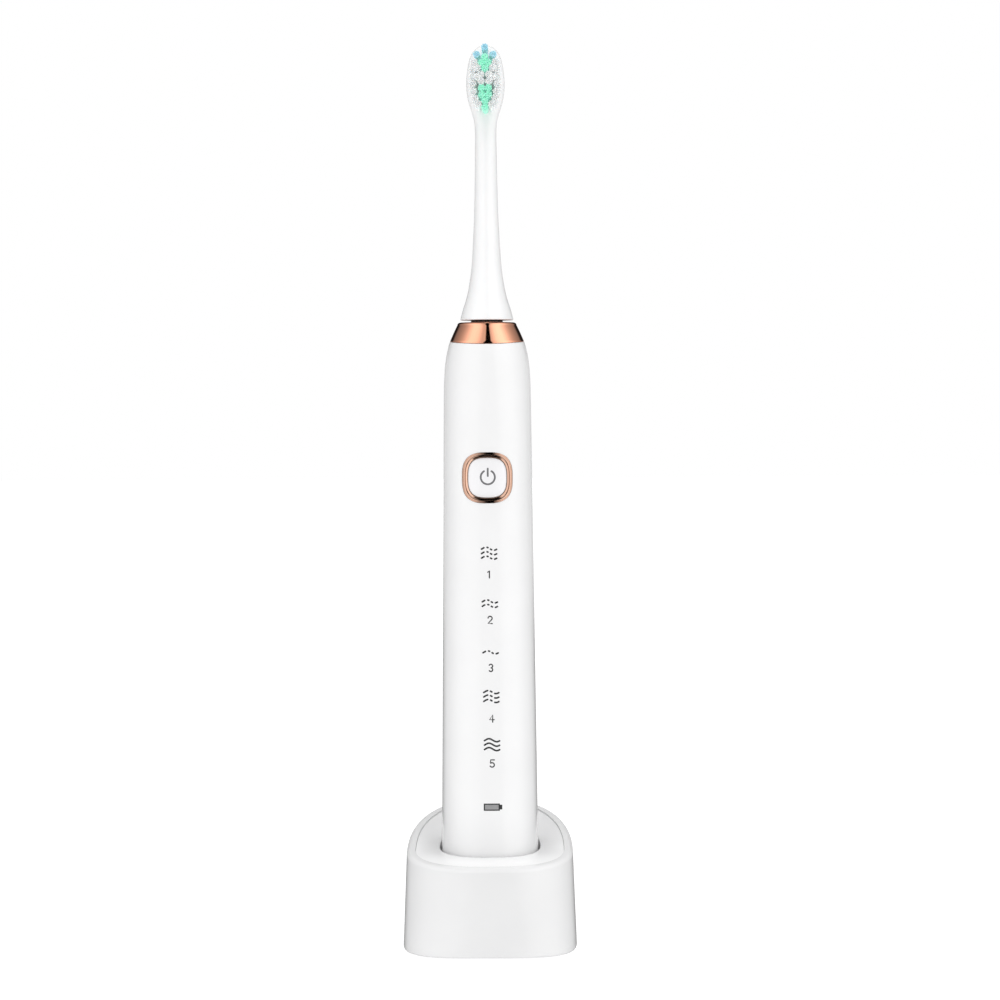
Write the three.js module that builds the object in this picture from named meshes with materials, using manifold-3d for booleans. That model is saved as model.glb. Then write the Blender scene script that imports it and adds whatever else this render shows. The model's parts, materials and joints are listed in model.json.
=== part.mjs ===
// An electric sonic toothbrush standing in the cup of its inductive charging base.
//
// Frame: millimetres, +Z up. -Y is the front with the button, and +X is to the right of
// someone who looks at that front. The origin is the centre of the base's footprint, on the
// surface that the base stands on. The toothbrush has a frame of its own, which stands on the
// handle's axis: HANDLE_Y along Y and STAND_Z above the table. All of its heights are in it.

import * as THREE from "three";
import { mergeVertices } from "three/addons/utils/BufferGeometryUtils.js";
import Module from "manifold-3d";

const wasm = await Module();
wasm.setup();

// ---------------------------------------------------------------- driving dimensions

const GAP = 0.3; // clearance between pieces that touch on the real object

// Charging base, seen from above: a rounded box in front and a half ellipse behind its widest line.
const BASE_FRONT = -30;
const BASE_BACK = 30;
const BASE_HALF_WIDTH = 25.85;
const BASE_WIDEST_Y = -11.6;
const BASE_DRAFT = 1.0; // how far the wall leans in between its foot and its rim
const BASE_BOTTOM = 0.6; // the housing's edge clears the table by the feet
const BASE_WALL = 2;
const FOOT_EXPONENT = 3.5; // squareness of the front half at the foot of the wall
const RIM_EXPONENT = 2.6; // and at the rim
const BACK_EXPONENT = 2.35;
const RIM_Z = 30.75; // height of the rim's flat land beside the toothbrush
const RIM_SLOPE = Math.tan(THREE.MathUtils.degToRad(9.6));
const RIM_ROUNDING = 1.3;
const RIM_WIDTH = 2.6;
const BOSS_ANGLES = [-62, -118, 38, 142]; // of the screws, in degrees about the widest line
const BOSS_INSET = 6.2;
const BOSS_RADIUS = 3;
const BOSS_BOTTOM = 3.6;
const BOSS_TOP = 13;
const BOSS_BORE = 1.3;
const RIB_THICKNESS = 1.8;

// The cradle is the separate top piece with the cup and the charging post.
const CRADLE_STEP = 0.5; // how far its edge lies under the rim
const CRADLE_WALL = 1.6;
const MOUTH_Z = 29; // height of the cup's mouth beside the toothbrush
const MOUTH_SLOPE = Math.tan(THREE.MathUtils.degToRad(2.5));
const CUP_HALF = 15.15;
const CUP_FLOOR = 20.3;
const POST_RADIUS = 4.2;
const POST_TOP = 28.9;
const DISH_POWER = 1.8; // the dish is flat near the mouth and steeper near the rim

const COVER_BOTTOM = 0.8;
const COVER_TOP = 3.2;
const FOOT_ANGLES = [-33, -147, 68, 112];
const FOOT_INSET = 6.6;
const FOOT_RADIUS = 3.2;
const FOOT_HEIGHT = 1.5;
const STANDOFF_PLACES = [[-9, -13], [9, -13], [-9, 20], [9, 20]]; // under the charger's board
const STANDOFF_RADIUS = 1.6;
const STANDOFF_TOP = 4.7;
const CHARGER_BOARD = [[-11, 11], [-15, 22], [5, 6.2]]; // its extent along X, Y and Z
const TRANSFORMER = [[-8.5, 1.5], [9, 19], [6.5, 14]];
const CAPACITOR_RADIUS = 3.2;
const CAPACITOR_ZS = [6.5, 15.5];
const CAPACITOR_PLACE = [6.5, 14];
const SCREW_HEAD_RADIUS = 2.2;
const SCREW_HEAD_ZS = [0.95, 2];
const SCREW_SHANK_RADIUS = 1;
const SCREW_TIP_Z = 10;
const SCREW_SLOT_HALF_LENGTH = 1.3;
const SCREW_SLOT_HALF_WIDTH = 0.3;
const SCREW_SLOT_TOP = 1.45;
const SCREW_WELL_RADIUS = 2.6; // the cover's recess for the screw's head
const SCREW_WELL_TOP = 2.3;
const SCREW_HOLE_RADIUS = 1.4;
const GLAND_Z = 10;
const GLAND_NECK = 2.9;
const GLAND_BORE = 1.9;
const GLAND_FLANGE = 4.6;
const GLAND_YS = [25.4, 26.9, 29.6]; // flange's inner face, flange's outer face, outer end

// Charging coil: a bobbin on a ferrite core that reaches up inside the post.
const CORE_RADIUS = 2.4;
const BOBBIN_RADIUS = 10;
const BOBBIN_BORE = 2.7;
const BOBBIN_HUB = 3.3;
const BOBBIN_BOTTOM = 9.4;
const BOBBIN_TOP = 18.2;
const BOBBIN_FLANGE = 0.8;

// Toothbrush handle. Its section is a rounded square that turns round towards the collar.
const HANDLE_Y = -4.6;
const STAND_Z = 2.3;
const HANDLE_BOTTOM = 18.4;
const HANDLE_HALF_BOTTOM = 14.6;
const HANDLE_TAPER = 0.0111; // loss of half width for each millimetre of height
const HANDLE_EXPONENT = 2.7;
const HANDLE_WALL = 1.4;
const SHELL_OUTER_HEIGHTS = [60, 100, 125, 140, 155, 162, 167, 171, 174, 176.2];
const SHELL_INNER_HEIGHTS = [174, 167, 155, 100];
const CAP_FLANGE = 1.5;
const SHOULDER_Z = 155;
const SHOULDER_DROP = 1.45;
const SHOULDER_POWER = 4.5;
const SEAM_Z = 178.25; // the shell meets the collar here at the sides
const SEAM_DIP = 0.65; // and this much lower at the front and back
const SEAM_EXPONENT = 2.2;
const COLLAR_TOP = 184.1;
const COLLAR_HALF_BOTTOM = 11.5;
const COLLAR_CONE = 0.46; // loss of half width for each millimetre of height
const COLLAR_ROUNDING = 0.7; // height of its top's rounding
const COLLAR_TOP_INSET = 0.86; // and that rounding's width
const COLLAR_WALL = 1.3;
const COLLAR_HOLE = 4.4;
const COLLAR_ROOF = 1.2; // thickness of its top
const NOSE_CAP_PROFILE = [[2.3, 176.7], [9.3, 176.7], [9.3, 177.9], [7.6, 181.9], [2.3, 181.9]];
const SHAFT_SEAL_PROFILE = [
  [2.1, 182.2], [6.4, 182.2], [6.4, 182.6], [4.05, 182.6], [4.05, 187], [3.5, 187.6], [2.1, 187.6],
];
const CAP_TOP = 25; // of the cap's spigot inside the shell
const CAP_CHAMFER = 0.6; // round its lower edge
const CAP_POCKET_HALF = 11.4;
const CAP_POCKET_BOTTOM = 21;
const CAP_SEAL_BOTTOM = 22.3;
const CAP_SEAL_TOP = 23.5;
const CAP_SEAL_INNER = 12.3;
const CAP_SEAL_OUTER = 12.75;
const SOCKET_WALL_RADIUS = 5.9;
const SOCKET_CLEARANCE = 0.55; // round the post
const SOCKET_HEADROOM = 0.8; // over the post
const POST_HOOD = 2.3; // from the post's top to the top of the socket's wall
const RECEIVER_COIL = [6.2, 10.4, 21.4, 27.8]; // inner radius, outer radius, bottom and top

// Power button, on the front of the handle.
const BUTTON_Z = 138.3;
const BUTTON_EXPONENT = 2.9;
const BUTTON_HALF = 5.65;
const RING_HALF = 7.45;
const RING_BORE_HALF = 5.95;
const RING_PROUD = 0.5;
const RING_SUNK = 0.2;
const SKIRT_WALL = 0.35;
const SKIRT_DEPTH = 1.1;
const SEAL_BACK_Y = -10.75; // rubber sheet behind the button
const SEAL_FRONT_Y = -11.25;
const SEAL_HALF = 5.6;
const SWITCH_HALF = 3;
const SWITCH_FRONT_Y = -10.4;
const PLUNGER_RADIUS = 1.6;
const PLUNGER_YS = [-11, -9];
const BUTTON_SUNK = 0.1;
const BUTTON_BACK_Y = -11.9; // flat back of the button's plate
const STEM_RADIUS = 1.75;
const STEM_END_Y = -11.3;

// Drive: the motor turns the shaft a few degrees to and fro.
const SHAFT_RADIUS = 1.8;
const SHAFT_BOTTOM = 148.2;
const SHAFT_TOP = 203.5;
const SHAFT_FLAT_Y = -1.3;
const SHAFT_FLAT_BOTTOM = 188.8;
const BORE_CLEARANCE = 0.15; // of a bearing around the shaft
const COUPLER_RADIUS = 2.9;
const COUPLER_BOTTOM = 189.4;
const MOTOR_RADIUS = 9;
const MOTOR_BOTTOM = 147;
const MOTOR_TOP = 173;
const BEARING_RADIUS = 4;
const MAGNET_RADIUS = 5.2;
const POLE_RADIUS = 5.6;
const ROTOR_RADIUS = 3.2;
const ROTOR_BOTTOM = 157;
const ROTOR_TOP = 169;
const FRONT_PLATE = [4.3, 9.6, 173.4, 175.2]; // inner radius, outer radius, bottom and top
const STATOR_COIL = [4.4, 7.9, 150.5, 156];
const FRONT_BEARING_ZS = [173.3, 176.3];
const REAR_BEARING_ZS = [148.1, 150.1];
const DAMPER_OUTER = 10;
const DAMPER_BOTTOMS = [150, 160];
const DAMPER_HEIGHT = 4;

// Main board, indicators and battery inside the handle.
const BOARD_FRONT_Y = -7.6;
const BOARD_THICKNESS = 1.2;
const MAIN_BOARD_HALF = 8.5;
const MAIN_BOARD_ZS = [34, 144];
const BATTERY_RADIUS = 7;
const BATTERY_Y = 2.3;
const BATTERY_BOTTOM = 40;
const BATTERY_TOP = 90;
const TERMINAL_RADIUS = 2.6;
const TAB_HALF_WIDTH = 2.5;
const TAB_THICKNESS = 0.4;
const TAB_LEG_YS = [-6, -5.6]; // of the leg beside the board
const MODE_COUNT = 5;
const MODE_TOP_Z = 115.5;
const MODE_PITCH = 13.85;
const BATTERY_LIGHT_Z = 41.6;
const MASK = [[-5, 5], [-11.2, -9], [36, 121]]; // its extent along X, Y and Z
const WINDOW_HALF_WIDTH = 1.9;
const WINDOW_HALF_HEIGHT = 1.5;
const LED_HALF_WIDTH = 1.4;
const LED_HALF_HEIGHT = 0.7;
const LED_DEPTH = 1.1; // from the board to its front
const CHASSIS_RADIUS = 11.1;
const CHASSIS_WALL = 0.8;
const CHASSIS_BOTTOM = 31;
const CHASSIS_TOP = 166;

// Brush head: stations up its length as [z, half width, half depth, centre y, exponent].
const HEAD_BOTTOM = 184.8;
const HEAD_STATIONS = [
  [184.8, 8.0, 8.0, 0, 2],
  [187.8, 7.2, 7.2, 0, 2],
  [190.8, 6.24, 6.24, 0, 2],
  [193.8, 5.5, 5.5, 0, 2],
  [199.7, 4.58, 4.58, 0, 2],
  [205.7, 4.12, 4.12, 0, 2],
  [214.6, 3.65, 3.6, 0, 2],
  [223.4, 3.4, 3.2, 0.1, 2],
  [235.3, 3.2, 2.75, 0.2, 2.1],
  [241.2, 3.18, 2.5, 0.3, 2.2],
  [244.1, 3.5, 2.42, 0.3, 2.3],
  [247.0, 4.35, 2.38, 0.3, 2.4],
  [250.0, 5.23, 2.33, 0.3, 2.5],
  [254.5, 5.7, 2.3, 0.3, 2.5],
  [258.8, 5.35, 2.3, 0.3, 2.5],
  [261.8, 4.75, 2.3, 0.3, 2.5],
  [263.4, 4.1, 2.25, 0.3, 2.4],
  [264.8, 3.05, 2.0, 0.3, 2.3],
  [265.6, 1.9, 1.5, 0.3, 2.1],
  [265.9, 0.8, 0.7, 0.3, 2],
];
const SOCKET_RADIUS = 3.2; // of the head's bore for the shaft and coupler
const SOCKET_MOUTH_RADIUS = 5.2;
const SOCKET_MOUTH_TOP = 189;
const PLATE_INSET = 0.9; // of the bristle pocket from the head's edge
const PLATE_BOTTOM = 245;
const PLATE_TOP = 264.7;
const POCKET_FLOOR_Y = -0.6;
const PLATE_FRONT_Y = -1.3;
const WEB_Y = -1.75; // middle of the bars that tie the coloured tufts, in front of the plate
const WEB_DEPTH = 0.3;
const WEB_WIDTH = 0.5;
const TUFT_RADIUS = 0.75;
const TUFT_TIP_Y = -11.3;
const TUFT_ROWS = {
  // [distance from the middle, height] of each tuft; the ones off the middle come in pairs
  white: [
    [3.15, 259.6], [2.25, 258.0], [3.5, 257.5], [1.15, 256.1], [2.35, 255.4], [3.6, 255.4],
    [1.15, 254.1], [3.6, 253.3], [3.4, 251.2], [2.9, 249.2], [2.0, 247.5],
  ],
  green: [
    [0, 261.2], [0.95, 259.5], [0, 257.8], [1.0, 252.2], [1.0, 250.2], [0, 248.4], [0, 246.5],
  ],
  blue: [[0, 263.1], [2.0, 261.9]],
};
const GREEN_WEBS = [
  [[0, 246.5], [0, 261.2]],
  [[-0.95, 259.5], [0.95, 259.5]],
  [[-1, 252.2], [1, 252.2]],
  [[-1, 250.2], [1, 250.2]],
];
const BLUE_WEBS = [[[-2, 261.9], [0, 263.1]], [[0, 263.1], [2, 261.9]]];

// ---------------------------------------------------------------- materials

const paint = (color, roughness, metalness = 0) =>
  new THREE.MeshStandardMaterial({ color, roughness, metalness });

const WHITE_GLOSS = paint(0xf4f4f4, 0.22);
const WHITE_SATIN = paint(0xefefef, 0.45);
const ROSE_GOLD = paint(0xd9946f, 0.14, 1);
const BLACK_RUBBER = paint(0x141414, 0.75);
const SOFT_GREY = paint(0xb8bbbd, 0.7);
const DARK_PLASTIC = paint(0x2a2c2e, 0.5);
const STEEL = paint(0xa9acb0, 0.32, 1);
const COPPER = paint(0xb0602f, 0.35, 1);
const BRONZE = paint(0xa07840, 0.4, 1);
const FERRITE = paint(0x2b2b2e, 0.6);
const MAGNET = paint(0x8f9499, 0.25, 1);
const BOARD_GREEN = paint(0x1d5a37, 0.5);
const CELL_WRAP = paint(0x2f6fae, 0.4);
const NICKEL = paint(0xb9b6ab, 0.3, 1);
const LED_LENS = paint(0xe8f0e0, 0.3);
const NYLON_WHITE = paint(0xf2f5f4, 0.5);
const NYLON_GREEN = paint(0x6fe0b4, 0.5);
const NYLON_BLUE = paint(0x6fc3ea, 0.5);

// ---------------------------------------------------------------- geometry helpers

const SECTION_SIDES = 36;
const FRONT_CLEAR_Y = -20; // cutting tools on the handle's front run from here, clear of it
const OPENING_BACK_Y = -6; // to here, behind its wall

// Distance from the centre to a rounded square's outline, in the direction of an angle.
function squircleRadius(angle, halfX, halfY, exponent) {
  const across = Math.abs(Math.cos(angle)) / halfX;
  const along = Math.abs(Math.sin(angle)) / halfY;
  return (across ** exponent + along ** exponent) ** (-1 / exponent);
}

// One closed ring of points, from a function of the angle about +Z.
function ring(pointAt, sides = SECTION_SIDES) {
  return Array.from({ length: sides }, (_, i) => pointAt((2 * Math.PI * i) / sides));
}

function squircleRing(half, exponent, z, sides = SECTION_SIDES) {
  return ring((angle) => {
    const r = squircleRadius(angle, half, half, exponent);
    return new THREE.Vector3(r * Math.cos(angle), r * Math.sin(angle), z);
  }, sides);
}

// A tube with a rounded-square section.
function squircleTube(innerHalf, outerHalf, bottom, top) {
  return loft([
    squircleRing(innerHalf, HANDLE_EXPONENT, bottom),
    squircleRing(outerHalf, HANDLE_EXPONENT, bottom),
    squircleRing(outerHalf, HANDLE_EXPONENT, top),
    squircleRing(innerHalf, HANDLE_EXPONENT, top),
  ], true);
}

// A solid's signed volume is negative when its faces point in.
function signedVolume(points, faces) {
  let six = 0;
  for (let f = 0; f < faces.length; f += 3) {
    const [a, b, c] = [points[faces[f]], points[faces[f + 1]], points[faces[f + 2]]];
    six += a.dot(new THREE.Vector3().crossVectors(b, c));
  }
  return six / 6;
}

// Skins a row of rings that have the same number of points. A closed loft joins the last ring
// to the first, which makes a hollow shell; an open one gets a cap on each end.
function loft(rings, closed = false) {
  const sides = rings[0].length;
  const points = rings.flat();
  const faces = [];
  const bands = closed ? rings.length : rings.length - 1;
  for (let band = 0; band < bands; band++) {
    const low = band * sides;
    const high = ((band + 1) % rings.length) * sides;
    for (let i = 0; i < sides; i++) {
      const j = (i + 1) % sides;
      faces.push(low + i, low + j, high + j, low + i, high + j, high + i);
    }
  }
  if (!closed) {
    const capEnd = (start, reversed) => {
      const end = points.slice(start, start + sides);
      const middle = points.length;
      const sum = end.reduce((total, p) => total.add(p), new THREE.Vector3());
      points.push(sum.divideScalar(sides));
      for (let i = 0; i < sides; i++) {
        const j = (i + 1) % sides;
        faces.push(middle, start + (reversed ? j : i), start + (reversed ? i : j));
      }
    };
    capEnd(0, true);
    capEnd((rings.length - 1) * sides, false);
  }
  if (signedVolume(points, faces) < 0) faces.reverse();
  return new THREE.BufferGeometry().setFromPoints(points).setIndex(faces);
}

// A turned piece from its profile of [radius, height] corners, which closes on itself.
function turned(profile, sides = 20) {
  const corners = [...profile, profile[0]].map(([r, z]) => new THREE.Vector2(r, z));
  return new THREE.LatheGeometry(corners, sides).rotateX(Math.PI / 2);
}

function tube(innerRadius, outerRadius, bottom, top, sides = 20) {
  return turned(
    [[innerRadius, bottom], [outerRadius, bottom], [outerRadius, top], [innerRadius, top]],
    sides,
  );
}

function rod(radius, bottom, top, sides = 20) {
  return new THREE.CylinderGeometry(radius, radius, top - bottom, sides)
    .rotateX(Math.PI / 2)
    .translate(0, 0, (top + bottom) / 2);
}

function block(x, y, z) {
  return new THREE.BoxGeometry(x[1] - x[0], y[1] - y[0], z[1] - z[0])
    .translate((x[0] + x[1]) / 2, (y[0] + y[1]) / 2, (z[0] + z[1]) / 2);
}

// An outline in the XZ plane, given as [x, z] corners, pushed along Y.
function slab(corners, fromY, toY) {
  const outline = new THREE.Shape(corners.map(([x, z]) => new THREE.Vector2(x, -z)));
  return new THREE.ExtrudeGeometry(outline, { depth: toY - fromY, bevelEnabled: false })
    .rotateX(-Math.PI / 2)
    .translate(0, fromY, 0);
}

function solidOf(geometry) {
  const bare = new THREE.BufferGeometry()
    .setAttribute("position", geometry.getAttribute("position"))
    .setIndex(geometry.index);
  const merged = mergeVertices(bare, 1e-4);
  const made = new wasm.Manifold(new wasm.Mesh({
    numProp: 3,
    vertProperties: merged.attributes.position.array,
    triVerts: new Uint32Array(merged.index.array),
  }));
  if (made.volume() >= 0) return made;
  const flipped = new Uint32Array(merged.index.array).reverse();
  return new wasm.Manifold(new wasm.Mesh({
    numProp: 3,
    vertProperties: merged.attributes.position.array,
    triVerts: flipped,
  }));
}

function geometryOf(solid) {
  const { vertProperties, triVerts, numProp, numVert } = solid.getMesh();
  const points = Array.from({ length: numVert }, (_, i) =>
    new THREE.Vector3().fromArray(vertProperties, i * numProp));
  return new THREE.BufferGeometry().setFromPoints(points).setIndex([...triVerts]);
}

const cut = (from, ...tools) =>
  geometryOf(tools.reduce((left, tool) => left.subtract(solidOf(tool)), solidOf(from)));

const join = (first, ...others) =>
  geometryOf(others.reduce((sum, other) => sum.add(solidOf(other)), solidOf(first)));

const keepCommon = (first, second) => geometryOf(solidOf(first).intersect(solidOf(second)));

const facingOut = (geometry) => geometryOf(solidOf(geometry));

// ---------------------------------------------------------------- the handle's surface

const clampedRamp = (value, from, to) => THREE.MathUtils.clamp((value - from) / (to - from), 0, 1);

// Half width of the handle's shell at a height.
function handleHalf(z) {
  const shoulder = Math.max(0, (z - SHOULDER_Z) / (SEAM_Z - SEAM_DIP - SHOULDER_Z));
  const straight = HANDLE_HALF_BOTTOM - HANDLE_TAPER * (z - HANDLE_BOTTOM);
  return straight - SHOULDER_DROP * shoulder ** SHOULDER_POWER;
}

function handleExponent(z) {
  const ramp = clampedRamp(z, SHOULDER_Z, SEAM_Z);
  return THREE.MathUtils.lerp(HANDLE_EXPONENT, SEAM_EXPONENT, ramp);
}

// The seam between the shell and the collar is a saddle: lower in front and behind.
const seamZ = (angle) => SEAM_Z - SEAM_DIP * Math.sin(angle) ** 2;

function handlePoint(angle, z, inset = 0) {
  const half = handleHalf(z) - inset;
  const r = squircleRadius(angle, half, half, handleExponent(z));
  return new THREE.Vector3(r * Math.cos(angle), r * Math.sin(angle), z);
}

const collarHalf = (z) => COLLAR_HALF_BOTTOM - COLLAR_CONE * (z - SEAM_Z + SEAM_DIP);

function collarPoint(angle, z, inset = 0) {
  const half = collarHalf(z) - inset;
  const exponent = THREE.MathUtils.lerp(SEAM_EXPONENT, 2, clampedRamp(z, SEAM_Z, COLLAR_TOP));
  const r = squircleRadius(angle, half, half, exponent);
  return new THREE.Vector3(r * Math.cos(angle), r * Math.sin(angle), z);
}

// How far in front of the axis the handle's front surface lies.
function handleFrontY(x, z) {
  const half = handleHalf(z);
  return -half * (1 - (Math.abs(x) / half) ** HANDLE_EXPONENT) ** (1 / HANDLE_EXPONENT);
}

// A rounded-square pad on the handle's front, between two surfaces given as y of (x, z).
function frontPad(half, backY, frontY) {
  const contour = (scale, surface) => ring((angle) => {
    const r = scale * squircleRadius(angle, half, half, BUTTON_EXPONENT);
    const x = r * Math.cos(angle);
    const z = BUTTON_Z + r * Math.sin(angle);
    return new THREE.Vector3(x, surface(x, z), z);
  }, 28);
  const inward = [1, 0.7, 0.35];
  const outward = [...inward].reverse();
  return loft([
    ...outward.map((scale) => contour(scale, backY)),
    ...inward.map((scale) => contour(scale, frontY)),
  ]);
}

// A prism with the button's outline, along Y.
function frontPrism(half, fromY, toY) {
  const section = (y) => ring((angle) => {
    const r = squircleRadius(angle, half, half, BUTTON_EXPONENT);
    return new THREE.Vector3(r * Math.cos(angle), y, BUTTON_Z + r * Math.sin(angle));
  }, 28);
  return loft([section(fromY), section(toY)]);
}

// A rod along Y, centred on x and z.
function frontRod(radius, x, z, fromY, toY, sides = 18) {
  return new THREE.CylinderGeometry(radius, radius, toY - fromY, sides)
    .translate(x, (fromY + toY) / 2, z);
}

// ---------------------------------------------------------------- handle pieces

function handleShell() {
  const bottom = HANDLE_BOTTOM + CAP_FLANGE + GAP;
  const outside = [bottom, ...SHELL_OUTER_HEIGHTS].map((z) =>
    ring((angle) => handlePoint(angle, z)));
  const outerSeam = ring((angle) => handlePoint(angle, seamZ(angle)));
  const innerSeam = ring((angle) => handlePoint(angle, seamZ(angle), HANDLE_WALL));
  const inside = [...SHELL_INNER_HEIGHTS, bottom].map((z) =>
    ring((angle) => handlePoint(angle, z, HANDLE_WALL)));
  const shell = loft([...outside, outerSeam, innerSeam, ...inside], true);
  const opening = frontPrism(RING_BORE_HALF + SKIRT_WALL + GAP, FRONT_CLEAR_Y, OPENING_BACK_Y);
  const recess = frontPad(
    RING_HALF + GAP,
    (x, z) => handleFrontY(x, z) + RING_SUNK + GAP,
    () => FRONT_CLEAR_Y,
  );
  return cut(shell, opening, recess);
}

function collarRing() {
  const rounding = [0, 30, 60, 90].map((degrees) => THREE.MathUtils.degToRad(degrees));
  const topHalf = collarHalf(COLLAR_TOP - COLLAR_ROUNDING);
  const outside = rounding.map((turn) => ring((angle) => {
    const r = topHalf - COLLAR_TOP_INSET * (1 - Math.cos(turn));
    const z = COLLAR_TOP - COLLAR_ROUNDING * (1 - Math.sin(turn));
    return new THREE.Vector3(r * Math.cos(angle), r * Math.sin(angle), z);
  }));
  const round = (r, z) => ring((angle) =>
    new THREE.Vector3(r * Math.cos(angle), r * Math.sin(angle), z));
  const underTop = COLLAR_TOP - COLLAR_ROOF;
  return loft([
    ring((angle) => collarPoint(angle, seamZ(angle) + GAP)),
    ring((angle) => collarPoint(angle, (SEAM_Z + COLLAR_TOP) / 2)),
    ...outside,
    round(COLLAR_HOLE, COLLAR_TOP),
    round(COLLAR_HOLE, underTop),
    round(collarHalf(underTop) - COLLAR_WALL, underTop),
    ring((angle) => collarPoint(angle, seamZ(angle) + GAP, COLLAR_WALL)),
  ], true);
}

// The ring's flange lies in a shallow recess and its skirt lines the opening.
function buttonRing() {
  const flange = frontPad(
    RING_HALF,
    (x, z) => handleFrontY(x, z) + RING_SUNK,
    (x, z) => handleFrontY(x, z) - RING_PROUD,
  );
  const skirt = frontPad(
    RING_BORE_HALF + SKIRT_WALL,
    (x, z) => handleFrontY(x, z) + SKIRT_DEPTH,
    handleFrontY,
  );
  return cut(join(flange, skirt), frontPrism(RING_BORE_HALF, FRONT_CLEAR_Y, OPENING_BACK_Y));
}

function powerButton() {
  const plate = frontPad(
    BUTTON_HALF,
    () => BUTTON_BACK_Y,
    (x, z) => handleFrontY(x, z) + BUTTON_SUNK,
  );
  return join(plate, frontRod(STEM_RADIUS, 0, BUTTON_Z, BUTTON_BACK_Y - 0.5, STEM_END_Y));
}

function buttonSeal() {
  const sheet = frontPrism(SEAL_HALF, SEAL_FRONT_Y, SEAL_BACK_Y);
  const hole = frontRod(STEM_RADIUS + 0.55, 0, BUTTON_Z, SEAL_FRONT_Y - 1, SEAL_BACK_Y + 1);
  return cut(sheet, hole);
}

function switchBody() {
  const body = block(
    [-SWITCH_HALF, SWITCH_HALF],
    [SWITCH_FRONT_Y, BOARD_FRONT_Y - GAP],
    [BUTTON_Z - SWITCH_HALF, BUTTON_Z + SWITCH_HALF],
  );
  const well = frontRod(PLUNGER_RADIUS + 0.35, 0, BUTTON_Z, SWITCH_FRONT_Y - 1, PLUNGER_YS[1] + 0.6);
  return cut(body, well);
}

// The cap closes the handle's bottom; the charging post reaches up into its blind socket.
function bottomCap() {
  const flangeTop = HANDLE_BOTTOM + CAP_FLANGE;
  const spigot = handleHalf(HANDLE_BOTTOM) - HANDLE_WALL - GAP - 0.05;
  const plug = loft([
    ring((angle) => handlePoint(angle, HANDLE_BOTTOM, CAP_CHAMFER)),
    ring((angle) => handlePoint(angle, HANDLE_BOTTOM + 0.5)),
    ring((angle) => handlePoint(angle, flangeTop)),
    squircleRing(spigot, HANDLE_EXPONENT, flangeTop),
    squircleRing(spigot, HANDLE_EXPONENT, CAP_TOP),
  ]);
  const pocket = loft([
    squircleRing(CAP_POCKET_HALF, HANDLE_EXPONENT, CAP_POCKET_BOTTOM),
    squircleRing(CAP_POCKET_HALF, HANDLE_EXPONENT, CAP_TOP + 1),
  ]);
  const groove = squircleTube(
    CAP_SEAL_INNER - GAP,
    HANDLE_HALF_BOTTOM,
    CAP_SEAL_BOTTOM - GAP,
    CAP_SEAL_TOP + GAP,
  );
  const postTop = POST_TOP - STAND_Z;
  const socketWall = rod(SOCKET_WALL_RADIUS, CAP_POCKET_BOTTOM - 1, postTop + POST_HOOD);
  const socket = rod(POST_RADIUS + SOCKET_CLEARANCE, HANDLE_BOTTOM - 1, postTop + SOCKET_HEADROOM);
  return cut(join(cut(plug, pocket, groove), socketWall), socket);
}

const capSeal = () =>
  squircleTube(CAP_SEAL_INNER, CAP_SEAL_OUTER, CAP_SEAL_BOTTOM, CAP_SEAL_TOP);

// A trough behind the board, with a wall at each end of the battery.
function chassis() {
  const trough = new THREE.Shape()
    .absarc(0, 0, CHASSIS_RADIUS, -0.15, Math.PI + 0.15, false)
    .absarc(0, 0, CHASSIS_RADIUS - CHASSIS_WALL, Math.PI + 0.15, -0.15, true);
  const channel = new THREE.ExtrudeGeometry(trough, {
    depth: CHASSIS_TOP - CHASSIS_BOTTOM,
    bevelEnabled: false,
    curveSegments: 16,
  }).translate(0, 0, CHASSIS_BOTTOM);
  const behindBoard = [BOARD_FRONT_Y + BOARD_THICKNESS + GAP, CHASSIS_RADIUS];
  const wall = (z) => keepCommon(
    rod(CHASSIS_RADIUS - CHASSIS_WALL / 2, z, z + 1.5),
    block([-CHASSIS_RADIUS, CHASSIS_RADIUS], behindBoard, [z - 1, z + 3]),
  );
  return join(channel, wall(BATTERY_BOTTOM - 4), wall(BATTERY_TOP + 2.5));
}

function batteryCell() {
  const body = rod(BATTERY_RADIUS, BATTERY_BOTTOM, BATTERY_TOP - 1, 28);
  const terminal = rod(TERMINAL_RADIUS, BATTERY_TOP - 1.5, BATTERY_TOP, 18);
  return join(body, terminal).translate(0, BATTERY_Y, 0);
}

// A nickel strip across one end of the battery, with a leg that points to the board.
function batteryTab(z, legToward) {
  const across = [-TAB_HALF_WIDTH, TAB_HALF_WIDTH];
  const strip = block(across, [TAB_LEG_YS[1], BATTERY_Y + 4], [z, z + TAB_THICKNESS]);
  const ends = [Math.min(z, z + legToward), Math.max(z + TAB_THICKNESS, z + legToward)];
  return join(strip, block(across, TAB_LEG_YS, ends));
}

function lightMask() {
  const heights = [...modeHeights(), BATTERY_LIGHT_Z];
  const windows = heights.map((z) => block(
    [-WINDOW_HALF_WIDTH, WINDOW_HALF_WIDTH],
    [MASK[1][0] - 1, MASK[1][1] + 1],
    [z - WINDOW_HALF_HEIGHT, z + WINDOW_HALF_HEIGHT],
  ));
  return cut(block(...MASK), ...windows);
}

const modeHeights = () => Array.from({ length: MODE_COUNT }, (_, i) => MODE_TOP_Z - i * MODE_PITCH);

const indicator = (z) => block(
  [-LED_HALF_WIDTH, LED_HALF_WIDTH],
  [BOARD_FRONT_Y - LED_DEPTH, BOARD_FRONT_Y - GAP],
  [z - LED_HALF_HEIGHT, z + LED_HALF_HEIGHT],
);

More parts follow.
